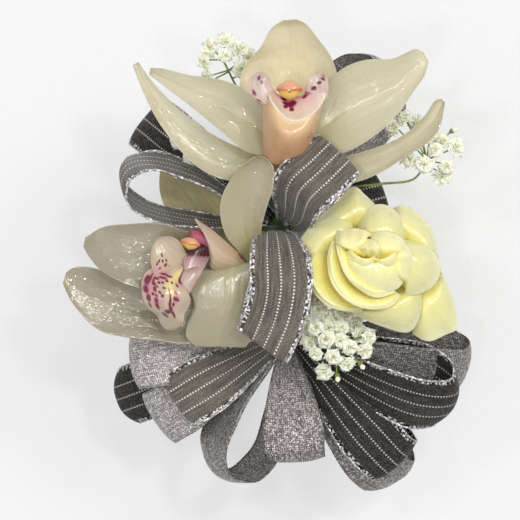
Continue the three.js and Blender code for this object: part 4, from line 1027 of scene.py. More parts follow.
for name, (body, skin, look) in lipLobes.items():
    if isinstance(skin, list):  # a list of spots becomes a material of the lobe's own
        tongue = name.endswith("tongue")
        skin = lipMaterial("spotted" + name.split("_")[-1], {
            **spottedLook, "vein": paint(214, 190, 118) if tongue else paint(176, 152, 128),
            "marks": {"ragged": 14.0, "shift": 0.035, "blots": [
                *spotPlaces(look, lipStains["blush"], 0.75, 1.0, (blushPink,)),
                *spotPlaces(look, lipStains["cream"], 0.85, 1.0, (creamYellow,)), *spotPlaces(look, skin)]}})
    made = petal(name, look, skin, thickness=0.55, rows=24, columns=17)
    settle(made, body, "lip", *(["left_orchid_lip"] if name.endswith("rolledLobe") else []))


# An anther cap is a flattened dome on the column's end, drawn to a blunt beak in front.
def dome(place, size, turn, rows=20, columns=28, beak=0.25):
    u, v = np.meshgrid(np.linspace(0, math.pi, rows), np.linspace(0, 2 * math.pi, columns, endpoint=False),
                       indexing='ij')
    x, y, z = np.sin(u) * np.cos(v), np.sin(u) * np.sin(v), np.cos(u)
    y = y - beak * np.clip(1 - np.abs(x), 0, 1) * (y < 0) * np.abs(y)
    x = x * (1 + beak * np.clip(1 - np.abs(y) * 2, 0, 1))
    c, s = math.cos(math.radians(turn)), math.sin(math.radians(turn))
    x, y = x * size[0], y * size[1]
    points = np.stack([c * x - s * y, s * x + c * y, z * size[2]], axis=-1) + np.asarray(place)
    # the map's first number is the way up the cap's front, from its lower edge to its back
    face = np.clip((np.sin(u) * np.sin(v) + 1) / 2, 0, 1)
    dot = np.hypot(np.sin(u) * np.cos(v) / 0.16, (np.sin(u) * np.sin(v) + 0.25) / 0.14)
    face = np.where((z > 0) & (dot < 1), 0.02, np.clip(face * 0.95 + 0.14, 0, 1))
    uv = np.stack([face, v / (2 * math.pi)], axis=-1)
    return points.reshape(-1, 3), gridFaces(rows, columns, closedColumns=True), uv.reshape(-1, 2)


def solid(name, parts, materials, levels=0):
    points, faces, uv, indices = joinParts(parts)
    return tidyPoles(meshObject(name, points, faces, uv, materials, indices, levels))


anthers = {
    "topOrchid_antherCap": ("top_orchid", "top_orchid_anther_cap", (289.5, 89, 84.6), (2.9, 2.4, 2.1), 0),
    "leftOrchid_antherCap": ("left_orchid", "left_orchid_anther_cap", (190.5, 243, 79.6), (2.3, 1.5, 1.8),
                             -14),
}
for name, (body, node, (px, py, height), size, turn) in anthers.items():
    place = onPicture(px, py, height / 1000)
    made = solid(name, [dome(place, np.array(size) / 1000, turn)], [antherCap])
    settle(made, body, "anther", node)

columns = {
    "topOrchid_column": ("top_orchid", "top_orchid_column",
                         [(288, 138, 70.6), (289, 118, 75), (289.5, 100, 80), (290, 91, 83)],
                         [2.6, 2.3, 2.1, 1.9]),
    "leftOrchid_column": ("left_orchid", "left_orchid_column",
                          [(236, 262, 68.5), (220, 249, 72.5), (206, 239, 75.8), (191, 236.5, 77.8)],
                          [2.4, 2.1, 1.7, 1.9]),
}
for name, (body, node, line, radii) in columns.items():
    stations = [onPicture(px, py, height / 1000) for px, py, height in line]
    skin = columnSkin if body == "top_orchid" else hoodSkin
    made = solid(name, [bar(stations, np.array(radii) / 1000, 24, 20)], [skin])
    settle(made, body, "column", node)
print("lips, columns and anther caps made")


# Rose. A petal is a dish: it leaves the rose's foot under the petals inside it, comes up to a
# floor one dip below its crest, climbs to the crest and rolls over and down to its rim. Crest
# and rim are drawn on the picture; both ends of a petal sink by a sixth power across it.
roseCup = {"axis": (372, 262), "foot": 60.6, "footShare": 0.16, "tuck": 0.24, "dip": 2.8, "endDrop": 2.2}


def rosePetalGrid(look, rows=38, columns=29):
    u, v = np.meshgrid(np.linspace(0, 1, rows), np.linspace(-1, 1, columns), indexing='ij')
    across = np.linspace(0, 1, columns)
    axis = np.array(roseCup["axis"], float)
    crest, rim = smooth(look["crest"], across), smooth(look["rim"], across)
    tuck, dip = look.get("tuck", roseCup["tuck"]), look.get("dip", roseCup["dip"])

    def inward(share, drop):
        flat = axis + (crest[:, :2] - axis) * share
        return np.concatenate([flat, crest[:, 2:] - drop], axis=1)

    foot = inward(roseCup["footShare"], 0)
    foot[:, 2] = roseCup["foot"]
    over = crest + (rim - crest) * 0.5
    over[:, 2] = crest[:, 2] + (rim[:, 2] - crest[:, 2]) * 0.25
    stations = np.stack([foot, inward(1 - 1.8 * tuck, 2.4 * dip), inward(1 - tuck, dip), crest, over, rim])
    grid = smooth(stations.reshape(len(stations), -1), u[:, 0]).reshape(rows, columns, 3)
    phase = look.get("phase", 0)
    ripple = look.get("ripple", 0.25) * np.sin(v * 4.5 + u * 5 + phase) * u ** 2
    ripple = ripple + 0.22 * np.sin(v * 12 + phase * 2) * u ** 4
    ripple = ripple - roseCup["endDrop"] * np.abs(v) ** 6 * np.sin(math.pi * np.clip(u * 0.62, 0, 1))
    return onPicture(grid[..., 0], grid[..., 1], (grid[..., 2] + ripple) / 1000), np.stack([u, v], axis=-1)


rosePetals = {
    "outer_petal_corner": ({
        "crest": [(410, 318, 66.5), (420, 310, 68), (428, 302, 69), (436, 292, 69), (440, 276, 68)],
        "rim": [(412, 334, 64.5), (428, 342, 64.5), (446, 335, 64.5), (458, 327, 64.5), (453, 298, 65.5),
                (441, 268, 66.5)], "phase": 0.4, "dip": 3.6, "tuck": 0.3}, rosePetalSkin),
    "outer_petal_right": ({
        "crest": [(390, 224, 71), (403, 228, 72.6), (415, 236, 73), (425, 246, 72.6), (432, 260, 71)],
        "rim": [(390, 209, 68.6), (402, 205, 68.6), (415, 210, 68.6), (429, 224, 68.6), (436, 240, 68.6),
                (440, 260, 68.6)], "phase": 1.2, "dip": 3.4, "tuck": 0.3}, rosePetalSkin),
    "outer_petal_top": ({
        "crest": [(312, 248, 70), (328, 230, 71.5), (347, 218, 72.5), (362, 212, 72.5), (378, 216, 71)],
        "rim": [(296, 242, 67), (314, 221, 67), (334, 202, 67), (353, 186, 66.5), (366, 195, 67.5),
                (380, 209, 68.6)], "phase": 2.2, "dip": 3.4, "tuck": 0.3}, rosePetalSkin),
    "outer_petal_left": ({
        "crest": [(312, 272, 71.5), (315, 256, 73.4), (324, 243, 74.6), (337, 234, 75), (354, 228, 74)],
        "rim": [(297, 276, 69), (295, 256, 69), (301, 238, 70), (314, 223, 70.6), (336, 216, 71.5),
                (353, 221, 73)], "phase": 3.0}, rosePetalSkin),
    "inner_petal_bottom": ({
        "crest": [(364, 308, 70.5), (380, 309, 72), (396, 304, 73), (408, 297, 72.6), (418, 288, 71)],
        "rim": [(345, 309, 68), (362, 319, 68), (382, 327, 68.4), (402, 333, 68), (413, 330, 68),
                (421, 314, 69), (423, 290, 70)], "phase": 0.9}, rosePetalSkin),
    "inner_petal_top": ({
        "crest": [(357, 238, 74.6), (368, 234, 76), (381, 232, 76.6), (394, 235, 76), (405, 244, 74.6)],
        "rim": [(356, 228, 72), (364, 212, 71.8), (376, 204, 71.8), (390, 206, 71.8), (401, 217, 72),
                (408, 238, 72.6)], "phase": 4.0}, rosePetalSkin),
    "inner_petal_right": ({
        "crest": [(404, 240, 75.2), (405, 251, 76.8), (406, 262, 77.4), (407, 274, 76.8), (404, 288, 75)],
        "rim": [(410, 238, 72.6), (426, 245, 72), (438, 257, 71.8), (441, 272, 71.8), (433, 287, 72),
                (417, 295, 72.4), (404, 296, 73)], "phase": 5.2, "ripple": 0.35}, rosePetalSkin),
    "inner_petal_left": ({
        "crest": [(322, 248, 73.4), (315, 258, 75), (312, 270, 75.6), (316, 286, 75.8), (328, 300, 75.4),
                  (344, 306, 74.8), (364, 307, 73.6)],
        "rim": [(317, 246, 72.8), (310, 258, 74.2), (307, 271, 74.8), (311, 288, 75), (324, 304, 74.6),
                (342, 311, 74), (364, 312, 73)], "tuck": 0.26, "dip": 2.6, "ripple": 0.4}, rosePetalSkin),
    "heart_petal_front": ({
        "crest": [(338, 238, 75.6), (333, 250, 77.2), (332, 264, 77.8), (336, 280, 78), (348, 295, 77.8),
                  (366, 303, 77.4), (386, 302, 76.6), (398, 292, 75)],
        "rim": [(334, 236, 74.8), (328.5, 249, 76.4), (327, 264, 77), (331, 282, 77.2), (344, 299, 77),
                (365, 309, 76.6), (389, 308, 75.8), (402, 295, 74.4)],
        "tuck": 0.24, "dip": 2.4, "ripple": 0.4, "phase": 1.9}, roseInnerSkin),
    "heart_petal_back": ({
        "crest": [(341, 230, 77.4), (340, 243, 78.8), (344, 258, 79.6), (350, 272, 79.8), (361, 284, 79.8),
                  (377, 291, 79.2), (392, 287, 78)],
        "rim": [(336, 229, 76.6), (335.5, 243, 78), (339, 259, 78.8), (345, 275, 79), (358, 289, 79),
                (377, 298, 78.4), (397, 292, 77)],
        "tuck": 0.24, "dip": 2.4, "ripple": 0.4, "phase": 3.4}, roseInnerSkin),
}
for part, (look, skin) in rosePetals.items():
    grid, uv = rosePetalGrid(look)
    u = uv[..., 0]
    wall = 0.75 * (0.3 + 0.7 * (1 - u ** 5)) / 1000
    settle(shell("rose_" + part, grid, uv, wall, skin), "rose", "rose_petal", "rose_" + part)

# The heart's small petals, folded one over the next.
roseHeart = {
    "wrapFront": {
        "crest": [(347, 258, 79.4), (355, 263, 80.8), (367, 265, 81.4), (381, 264, 81.2), (393, 265, 80.2),
                  (399, 272, 79)],
        "rim": [(343, 261, 77.6), (348, 278, 77.2), (363, 290, 77), (380, 294, 76.8), (398, 289, 77),
                (406, 278, 77.2)], "tuck": 0.7},
    "wrapRight": {
        "crest": [(398, 278, 79), (398, 266, 80), (400, 256, 80.4), (399, 247, 79.6)],
        "rim": [(409, 284, 76.6), (412, 268, 77), (412, 252, 77.2), (405, 240, 76.6)]},
    "foldLeft": {
        "crest": [(336, 244, 79), (345, 247, 80.6), (354, 247, 81.2), (363, 243, 81), (369, 236, 79.8)],
        "rim": [(334, 236, 77), (344, 229, 77.4), (357, 228, 77.6), (368, 231, 78), (374, 236, 78.4)]},
    "foldRight": {
        "crest": [(371, 242, 80), (377, 247, 81.2), (386, 249, 81.8), (395, 251, 81.2), (402, 256, 79.8)],
        "rim": [(368, 236, 78), (380, 231, 78), (394, 233, 77.8), (405, 241, 77.6), (408, 254, 77.6)]},
    "innerLeft": {
        "crest": [(349, 248, 79.8), (354, 254, 81.2), (362, 258, 82), (370, 258, 81.8), (377, 254, 80.8)],
        "rim": [(345, 252, 78.6), (349, 263, 79), (360, 269, 79.4), (373, 267, 79.6), (381, 258, 79.6)]},
    "innerRight": {
        "crest": [(373, 256, 80.8), (379, 259, 82), (386, 258, 82.2), (393, 254, 81.4), (397, 248, 80)],
        "rim": [(371, 264, 79.6), (379, 269, 79.4), (390, 269, 79.2), (400, 261, 79), (402, 250, 78.8)]},
    "innerBack": {
        "crest": [(358, 250, 80.8), (364, 247, 82), (371, 247, 82.6), (378, 249, 82.2), (383, 254, 81)],
        "rim": [(354, 246, 79.6), (362, 240, 80), (372, 239, 80.2), (382, 243, 80), (388, 250, 79.8)]},
    "curlMiddle": {
        "crest": [(366, 256, 81.8), (368, 251, 82.8), (373, 250, 83.2), (377, 253, 82.8), (376, 258, 82)],
        "rim": [(363, 258, 80.8), (364, 248, 81.6), (373, 244, 81.8), (381, 251, 81.6), (378, 261, 81)]},
}
for part, look in roseHeart.items():
    grid, uv = rosePetalGrid({"ripple": 0.7, "dip": 2.0, "tuck": 0.5, "phase": len(part), **look}, 28, 21)
    u = uv[..., 0]
    made = shell("rose_heart_" + part, grid, uv, 0.0005 * (0.4 + 0.6 * (1 - u ** 6)), roseInnerSkin)
    settle(made, "rose", "rose_petal", *(["rose_heart"] if part == "wrapFront" else []))
print("rose made")

# Ribbon bows. A loop runs out along its heading and back again, one run above the other;
# the millimetres are those of the part.
ribbonSizes = {"width": 16, "reach": 40, "waistRadius": 3, "waistOpening": 1.2, "thickness": 0.18,
               "gather": [0.3, 0.74, 1, 1, 1, 1, 1, 0.74, 0.3],
               "gatherCurl": [30, 12, 0, 0, 0, 0, 0, 12, 30], "pleat": 0.35, "beadPitch": 1.1,
               "endRound": 1.5}
bows = {"upper": (1.6, 10.4, 55.2), "lower": (4, -19.54, 48.8)}
# Loops that take a darker copy of organza or lamé are painted shade for loops that lie in shade.
ribbonLoops = {
    "centre_organza": {"bow": "upper", "skin": "organza", "line": [
        (0.06, 0.02, 0.02), (0.1, 0.06, 0.34), (0.14, 0.22, 0.56), (0.28, 0.36, 0.62), (0.41, 0.49, 0.56),
        (0.36, 0.43, 0.47), (0.2, 0.26, 0.46), (0.06, 0.12, 0.32), (0.02, 0.04, 0.02)],
        "across": [(0.72, -0.7, 0), (0.72, -0.7, 0)]},
    "front_organza": {"bow": "upper", "skin": "organza", "line": [
        (-0.02, -0.04, 0.04), (-0.01, -0.05, 0.34), (0.01, -0.2, 0.53), (0.02, -0.42, 0.6),
        (-0.02, -0.63, 0.59), (-0.1, -0.82, 0.53), (-0.05, -0.68, 0.47), (0, -0.43, 0.5), (0.03, -0.19, 0.46),
        (0.03, -0.12, 0.04)],
        "across": [(1, 0, 0), (0.97, -0.2, 0), (0.76, -0.65, 0), (0.97, -0.2, 0), (1, 0, 0)]},
    "left_silver": {"bow": "lower", "skin": "lame", "turn": (189, 5, 0, 1.08, 0.11)},
    "lower_left_organza": {"bow": "lower", "skin": "organza", "turn": (211, 12, 0, 0.9, 0.09)},
    "lower_left_silver": {"bow": "lower", "skin": "lame", "turn": (213, -6, 0, 1.08, 0.1)},
    "far_left_organza": {"bow": "lower", "skin": "dark", "turn": (201, -14, 0, 1.28, 0.08), "endRound": 4},
    "bottom_left_silver": {"bow": "lower", "skin": "lameShaded", "turn": (247, 0, 62, 1.06, 0.17)},
    "bottom_silver": {"bow": "lower", "skin": "lameShaded", "turn": (274, 8, 0, 0.87, 0.12)},
    "right_organza": {"bow": "lower", "skin": "dark", "turn": (339, 8, 35, 1.24, 0.15), "endRound": 3},
    "lower_right_organza": {"bow": "lower", "skin": "dark", "turn": (311, 0, 10, 1.16, 0.1)},
    "lower_right_silver": {"bow": "lower", "skin": "lameShaded", "turn": (307, -14, 20, 1.3, 0.1), "endRound": 3},
    "right_silver": {"bow": "lower", "skin": "lameShaded", "turn": (350, -8, 30, 1.27, 0.12)},
    "upper_left_organza": {"bow": "upper", "skin": "halfShaded", "turn": (162, 12, 72, 1.14, 0.14)},
    "far_upper_left_organza": {"bow": "upper", "skin": "dark", "turn": (141, -28, 0, 1.34, 0.07)},
    "top_silver": {"bow": "upper", "skin": "lameShaded", "turn": (57, -4, 50, 1.32, 0.17)},
    "behind_rose_organza": {"bow": "upper", "skin": "dark", "turn": (15, -10, 0, 0.77, 0.1)},
}


def unit(vectors):
    return vectors / np.maximum(np.linalg.norm(vectors, axis=-1, keepdims=True), 1e-12)


# The middle line of a loop: outward by the sine of pi t, and apart by the sine of 2 pi t,
# with the two ends a little open at the waist.
def loopLine(loop, t):
    sizes = ribbonSizes
    bow = np.array(bows[loop["bow"]], float)
    if "line" in loop:
        line = smooth(np.array(loop["line"]) * sizes["reach"] + bow, t)
        return line, unit(smooth(np.array(loop["across"], float), t))
    heading, tilt, roll, reach, fat = loop["turn"]
    h, e, r = (math.radians(a) for a in (heading, tilt, roll))
    out = np.array([math.cos(h) * math.cos(e), math.sin(h) * math.cos(e), math.sin(e)])
    level = np.array([-math.sin(h), math.cos(h), 0])
    across = level * math.cos(r) + np.cross(out, level) * math.sin(r)
    lift = np.cross(out, across)
    length = reach * sizes["reach"]
    far = sizes["waistRadius"] + (length - sizes["waistRadius"]) * np.sin(math.pi * t)
    apart = fat * length * np.sin(2 * math.pi * t) + sizes["waistOpening"] * np.cos(math.pi * t)
    line = bow + out * far[:, None] + lift * apart[:, None]
    return line, np.broadcast_to(across, line.shape)


def ribbonGrid(loop, seed, rows=110, columns=17):
    sizes = ribbonSizes
    t, v = np.linspace(0, 1, rows), np.linspace(-1, 1, columns)
    line, across = loopLine(loop, t)
    ahead = unit(np.gradient(line, axis=0))
    side = unit(across - ahead * (across * ahead).sum(axis=1, keepdims=True))
    normal = np.cross(side, ahead)
    half = smooth(np.array(sizes["gather"]), t) * sizes["width"] / 2
    curl = np.radians(smooth(np.array(sizes["gatherCurl"], float), t))[:, None]
    turn = np.where(np.abs(curl) < 1e-3, 1e-3, curl)
    sideways = half[:, None] * np.sin(turn * v) / turn
    lift = half[:, None] * (1 - np.cos(turn * v)) / turn
    # soft folds: pleats that die away from the waist, and a slow wander over the length
    waist = np.clip(1 - np.sin(math.pi * t) * 1.35, 0, 1)[:, None] ** 1.5
    lift = lift + sizes["pleat"] * np.sin(v * 11 + seed) * waist
    lift = lift + 0.22 * np.sin(t[:, None] * 23 + seed * 1.7 + v * 1.5) * np.sin(math.pi * t[:, None])
    lift = lift + 0.16 * np.sin(t[:, None] * 41 + seed * 2.3) * v ** 2
    grid = line[:, None] + side[:, None] * sideways[..., None] + normal[:, None] * lift[..., None]
    # the fold at the far end is rounded: its edges stay back by a power of the place across
    outward = unit(line[rows // 2] - line[0])
    back = loop.get("endRound", sizes["endRound"]) * np.abs(v) ** 2.6 * np.sin(math.pi * t[:, None]) ** 5
    grid = grid - outward * back[..., None]
    length = np.concatenate([[0], np.cumsum(np.linalg.norm(np.diff(line, axis=0), axis=1))])
    uv = np.stack(np.broadcast_arrays(length[:, None], (v * sizes["width"] / 2)[None, :]), axis=-1)
    return grid / 1000, uv, length[-1]


# The metallic edge is a string of beads of twisted thread along the ribbon's rim.
def beadedEdge(edge, seed, thick):
    sizes = ribbonSizes
    steps = np.linalg.norm(np.diff(edge, axis=0), axis=1)
    run = np.concatenate([[0], np.cumsum(steps)]) * 1000
    count = int(run[-1] / sizes["beadPitch"]) * 5 + 1
    place = np.linspace(0, run[-1], count)
    line = np.stack([np.interp(place, run, edge[:, k]) for k in range(3)], axis=1)
    ahead = unit(np.gradient(line, axis=0))
    first = unit(np.cross(ahead, np.array([0.3, 0.2, 1.0])))
    second = np.cross(ahead, first)
    beat = np.abs(np.sin(math.pi * place / sizes["beadPitch"]))
    uneven = 0.8 + 0.25 * np.sin(place * 2.3 + seed) * np.sin(place * 0.7 + seed * 3)
    radius = thick * (0.5 + 0.5 * beat * uneven) / 1000
    radius[0] = radius[-1] = 0.00002
    angle = np.linspace(0, 2 * math.pi, 6, endpoint=False)
    ring = first[:, None] * np.cos(angle)[None, :, None] + second[:, None] * np.sin(angle)[None, :, None]
    points = line[:, None] + ring * radius[:, None, None]
    points = np.concatenate([np.repeat(line[None, :1], 6, axis=1).reshape(1, 6, 3), points,
                             np.repeat(line[None, -1:], 6, axis=1).reshape(1, 6, 3)])
    marks = np.stack(np.broadcast_arrays(
        np.concatenate([place[:1], place, place[-1:]])[:, None], np.arange(6)[None, :] * 0.4), axis=-1)
    return points.reshape(-1, 3), gridFaces(len(points), 6, closedColumns=True)[:, ::-1], marks.reshape(-1, 2)


for order, (name, loop) in enumerate(ribbonLoops.items()):
    skin, slot = {"organza": (sheerOrganza, "organza"), "halfShaded": (organzaHalfShaded, "organza"),
                  "dark": (organzaInShade, "organza"),
                  "lame": (silverLame, "lame"), "lameShaded": (lameInShade, "lame")}[loop["skin"]]
    grid, uv, length = ribbonGrid(loop, order * 1.3)
    rows, columnCount = grid.shape[:2]
    wall = np.full(grid.shape[:2], ribbonSizes["thickness"] / 1000)
    made = shell("ribbon_" + name, grid, uv, wall, skin, levels=0)
    settle(made, "wristlet_and_bows", slot, name + "_loop")
    thread, thick = (darkThread, 0.22) if slot == "lame" else (silverThread, 0.36)
    edges = solid("ribbonEdge_" + name, [beadedEdge(grid[:, 0], order, thick),
                                         beadedEdge(grid[:, -1], order + 0.5, thick)], [thread])
    settle(edges, "wristlet_and_bows", slot)
print("ribbon loops made")

# Baby's breath. A floret has whorls of ragged petals, each a small grid: the petal runs out
# along its own direction and rises by a power of the way out; its width swells and stops short.
sprigSizes = {"place": (0, 0, 51.8), "scale": 40, "floret": 2.5, "branch": 0.2, "stalk": 0.42}
sprigs = {
    "top_left": {
        "line": [(-0.03, 0.735, -0.06), (-0.12, 0.98, 0.04), (-0.24, 1.2, 0.1), (-0.33, 1.38, 0.13)],
        "florets": [(-0.31, 1.52, 0.16), (-0.43, 1.46, 0.12), (-0.47, 1.36, 0.16), (-0.21, 1.46, 0.15),
                    (-0.14, 1.41, 0.1), (-0.31, 1.4, 0.26), (-0.2, 1.31, 0.2), (-0.45, 1.26, 0.1)],
        "buds": [(-0.5, 1.18, 0.12), (-0.1, 1.3, 0.14)]},
    "left": {
        "line": [(-0.12, 0.42, 0.02), (-0.28, 0.6, 0.2), (-0.44, 0.71, 0.27)],
        "florets": [(-0.64, 0.83, 0.25), (-0.55, 0.73, 0.27), (-0.49, 0.8, 0.23), (-0.38, 0.67, 0.26),
                    (-0.56, 0.86, 0.22), (-0.43, 0.73, 0.21), (-0.32, 0.62, 0.23)],
        "buds": [(-0.6, 0.6, 0.3)]},
    "right": {
        "line": [(0.14, 0.42, 0.06), (0.42, 0.5, 0.14), (0.73, 0.54, 0.2), (0.95, 0.57, 0.24),
                 (1.04, 0.7, 0.26)],
        "florets": [(0.89, 1, 0.26), (0.81, 0.93, 0.22), (0.96, 0.97, 0.2), (1.07, 0.87, 0.26),
                    (1.16, 0.83, 0.28), (1.25, 0.79, 0.26), (1.1, 0.77, 0.34), (1.18, 0.65, 0.28),
                    (1.15, 0.58, 0.2), (0.92, 0.7, 0.32), (1.02, 0.66, 0.36)],
        "buds": [(1.22, 0.9, 0.26), (1, 0.9, 0.2)]},
    "lower": {
        "line": [(0.06, -0.28, -0.02), (0.18, -0.36, 0.2), (0.32, -0.46, 0.32), (0.42, -0.54, 0.36)],
        "florets": [(0.29, -0.42, 0.42), (0.25, -0.53, 0.34), (0.36, -0.51, 0.44), (0.53, -0.57, 0.4),
                    (0.63, -0.59, 0.34), (0.66, -0.5, 0.3), (0.35, -0.73, 0.32), (0.51, -0.68, 0.34),
                    (0.29, -0.61, 0.38), (0.41, -0.63, 0.42), (0.36, -0.35, 0.38), (0.47, -0.43, 0.36),
                    (0.61, -0.47, 0.26), (0.25, -0.22, 0.36), (0.31, -0.3, 0.38), (0.43, -0.36, 0.34),
                    (0.57, -0.41, 0.24), (0.38, -0.43, 0.36), (0.46, -0.52, 0.4), (0.24, -0.12, 0.32),
                    (0.19, -0.03, 0.3), (0.175, 0.05, 0.3), (0.24, -0.32, 0.34), (0.2, -0.42, 0.32),
                    (0.51, -0.33, 0.28), (0.44, -0.29, 0.3)],
        "buds": [(0.44, -0.76, 0.34), (0.6, -0.68, 0.36)]},
}
# petals, reach, rise, turn
floretWhorls = [(6, 1.0, 0.18, 0.0), (6, 0.82, 0.55, 0.5), (5, 0.6, 1.0, 0.2), (4, 0.42, 1.7, 0.7)]


def floretPetals(centres, normals, radii, seed, rows=4, columns=5):
    dice = np.random.default_rng(seed)
    first = unit(np.cross(normals, np.array([0.31, 0.77, 0.55])))
    second = np.cross(normals, first)
    u, v = np.meshgrid(np.linspace(0, 1, rows), np.linspace(-1, 1, columns), indexing='ij')
    grids = []
    for count, reach, rise, turn in floretWhorls:
        jitter = dice.uniform(-0.25, 0.25, (len(centres), count))
        angle = (np.arange(count) + turn)[None, :] * 2 * math.pi / count + jitter
        angle = angle + dice.uniform(0, 6, (len(centres), 1))
        far = reach * dice.uniform(0.82, 1.12, angle.shape) * radii[:, None]
        up = rise * dice.uniform(0.75, 1.25, angle.shape)
        out = first[:, None] * np.cos(angle)[..., None] + second[:, None] * np.sin(angle)[..., None]
        side = np.cross(normals[:, None], out)
        tooth = 1 - 0.16 * np.abs(np.sin(v * 3.3 + 0.6))[None, None] * (u ** 3)[None, None]
        along = far[..., None, None] * u[None, None] * tooth
        width = far[..., None, None] * (0.12 + 0.56 * u ** 0.8)[None, None] * v[None, None]
        phase = dice.uniform(0, 6, angle.shape)[..., None, None]
        height = far[..., None, None] * (up[..., None, None] * u ** 1.4 - 0.25 * u * v ** 2
                                         + 0.1 * np.sin(v * 5 + phase) * u)
        grid = (centres[:, None, None, None] + out[..., None, None, :] * along[..., None]
                + side[..., None, None, :] * width[..., None]
                + normals[:, None, None, None] * height[..., None])
        grids.append(grid.reshape(-1, rows, columns, 3))
    grids = np.concatenate(grids)
    faces = gridFaces(rows, columns)[None] + (np.arange(len(grids)) * rows * columns)[:, None, None]
    uv = np.broadcast_to(np.stack([u, v], axis=-1), grids.shape[:-1] + (2,))
    return grids.reshape(-1, 3), faces.reshape(-1, 4), uv.reshape(-1, 2)


for order, (name, sprig) in enumerate(sprigs.items()):
    sizes = sprigSizes
    line, centres, buds = (np.array(sprig[key]) * sizes["scale"] + sizes["place"]
                           for key in ("line", "florets", "buds"))
    middle = centres.mean(axis=0) - (0, 0, 9)
    dice = np.random.default_rng(order + 5)
    facing = unit(unit(centres - middle) + (0, 0, 0.5) + dice.uniform(-0.3, 0.3, centres.shape))
    radii = sizes["floret"] * dice.uniform(0.85, 1.1, len(centres))
    base = centres - facing * 1.0
    points, faces, uv = floretPetals(base / 1000, facing, radii / 1000, order + 11)
    petals = meshObject("babysBreath_" + name + "_florets", points, faces, uv, [floretWhite])
    wall = petals.modifiers.new("petalWall", 'SOLIDIFY')
    wall.thickness, wall.offset = 0.00013, 0
    settle(petals, "wristlet_and_bows", "babys_breath", name + "_sprig")
    trunk = smooth(line, np.linspace(0, 1, 60))
    parts = [bar(line / 1000, np.array([sizes["stalk"], sizes["stalk"] * 0.6]) / 1000, 40, 10)]
    tips = [(c, f, 1.0) for c, f in zip(base, facing)] + [(b, unit(b - middle), 0.8) for b in buds]
    for tip, way, size in tips:
        near = trunk[np.argmin(np.linalg.norm(trunk - (tip - way * 3 - (0, 0, 2)), axis=1))]
        low = tip - way * 1.4
        elbow = near + (low - near) * 0.5 + (0, 0, 0.6)
        parts.append(bar(np.array([near, elbow, low, tip]) / 1000,
                         sizes["branch"] * np.array([1.2, 1, 1, 1]) / 1000, 12, 6))
        cup = np.array([0.2, 0.72, 0.86, 0.8, 0.35]) * size  # calyx
        parts.append(bar(np.array([low, tip + way * 0.1]) / 1000, cup / 1000, 9, 8))
    for b in buds:
        way = unit(b - middle)
        parts.append(bar(np.array([b, b + way * 1.5]) / 1000, np.array([0.5, 0.72, 0.6, 0.1]) / 1000, 9, 8)
                     + (1,))
    stalks = solid("babysBreath_" + name + "_stems", parts, [stemGreen, floretWhite])
    settle(stalks, "wristlet_and_bows", "babys_breath")
print("baby's breath made")

# Wristlet. The band's path is two flat runs joined by half ellipses; its section is a strip
# whose face rises in ribs, by the square root of a sine, across the width.
wristlet = {"flat": 16, "round": (12.6, 20.6), "centre": 21.2, "width": 22, "thickness": 1.2, "ribs": 8,
            "shirrPitch": 1.6}


def bandPath(count):
    flat, (rx, rz) = wristlet["flat"], wristlet["round"]
    turn = np.linspace(-math.pi / 2, math.pi / 2, count)
    run = np.linspace(0, 1, count // 2)[1:-1]
    right = np.stack([flat + rx * np.cos(turn), rz * np.sin(turn)], axis=1)
    top = np.stack([flat - 2 * flat * run, np.full(run.shape, rz)], axis=1)
    left = np.stack([-flat - rx * np.cos(turn), -rz * np.sin(turn)], axis=1)
    under = np.stack([-flat + 2 * flat * run, np.full(run.shape, -rz)], axis=1)
    path = np.concatenate([right, top, left, under, right[:1]])
    outward = np.concatenate([
        np.stack([rz * np.cos(turn), rx * np.sin(turn)], axis=1), np.tile([0.0, 1.0], (len(run), 1)),
        np.stack([-rz * np.cos(turn), -rx * np.sin(turn)], axis=1), np.tile([0.0, -1.0], (len(run), 1)),
        [[0.0, -1.0]]])
    return path, unit(outward)


def elasticBand(columns=65):
    path, outward = bandPath(90)
    across = np.linspace(-1, 1, columns)
    rib = np.sqrt(np.abs(np.sin(np.linspace(0, wristlet["ribs"] * math.pi, columns))))
    edge = np.clip((1 - np.abs(across)) * 14, 0, 1) ** 0.5
    outer = (wristlet["thickness"] / 2 - 0.32 + 0.3 * rib) * edge
    inner = -(wristlet["thickness"] / 2 - 0.12 + 0.1 * rib) * edge
    sideways = np.concatenate([across, across[::-1]]) * wristlet["width"] / 2
    rise = np.concatenate([outer, inner[::-1]])
    length = np.concatenate([[0], np.cumsum(np.linalg.norm(np.diff(path, axis=0), axis=1))])
    shirr = 0.05 * np.sin(length * 2 * math.pi / wristlet["shirrPitch"])
    inside = np.abs(sideways) < wristlet["width"] / 2 - 0.6
    level = rise[None] + shirr[:, None] * np.sign(rise)[None] * inside[None]
    x = path[:, :1] + outward[:, :1] * level
    z = path[:, 1:] + outward[:, 1:] * level + wristlet["centre"]
    y = np.broadcast_to(sideways[None], x.shape)
    uv = np.stack(np.broadcast_arrays(length[:, None], sideways[None, :]), axis=-1)
    faces = gridFaces(len(path), len(sideways), closedColumns=True)
    return np.stack([x, y, z], axis=-1).reshape(-1, 3) / 1000, faces, uv.reshape(-1, 2)


band = solid("wristBand", [elasticBand()], [silverElastic])
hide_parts("band_top", "band_left_side", "band_right_side", "band_underside")
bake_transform(band)


# The tab that closes the band: a flat strip with rounded edges and a double row of stitches.
tabSizes = {"halfWidth": 4, "halfLength": 11, "halfThickness": 0.42, "height": 1.9,
            "stitchPlace": 2.6, "stitchPitch": 1.5}


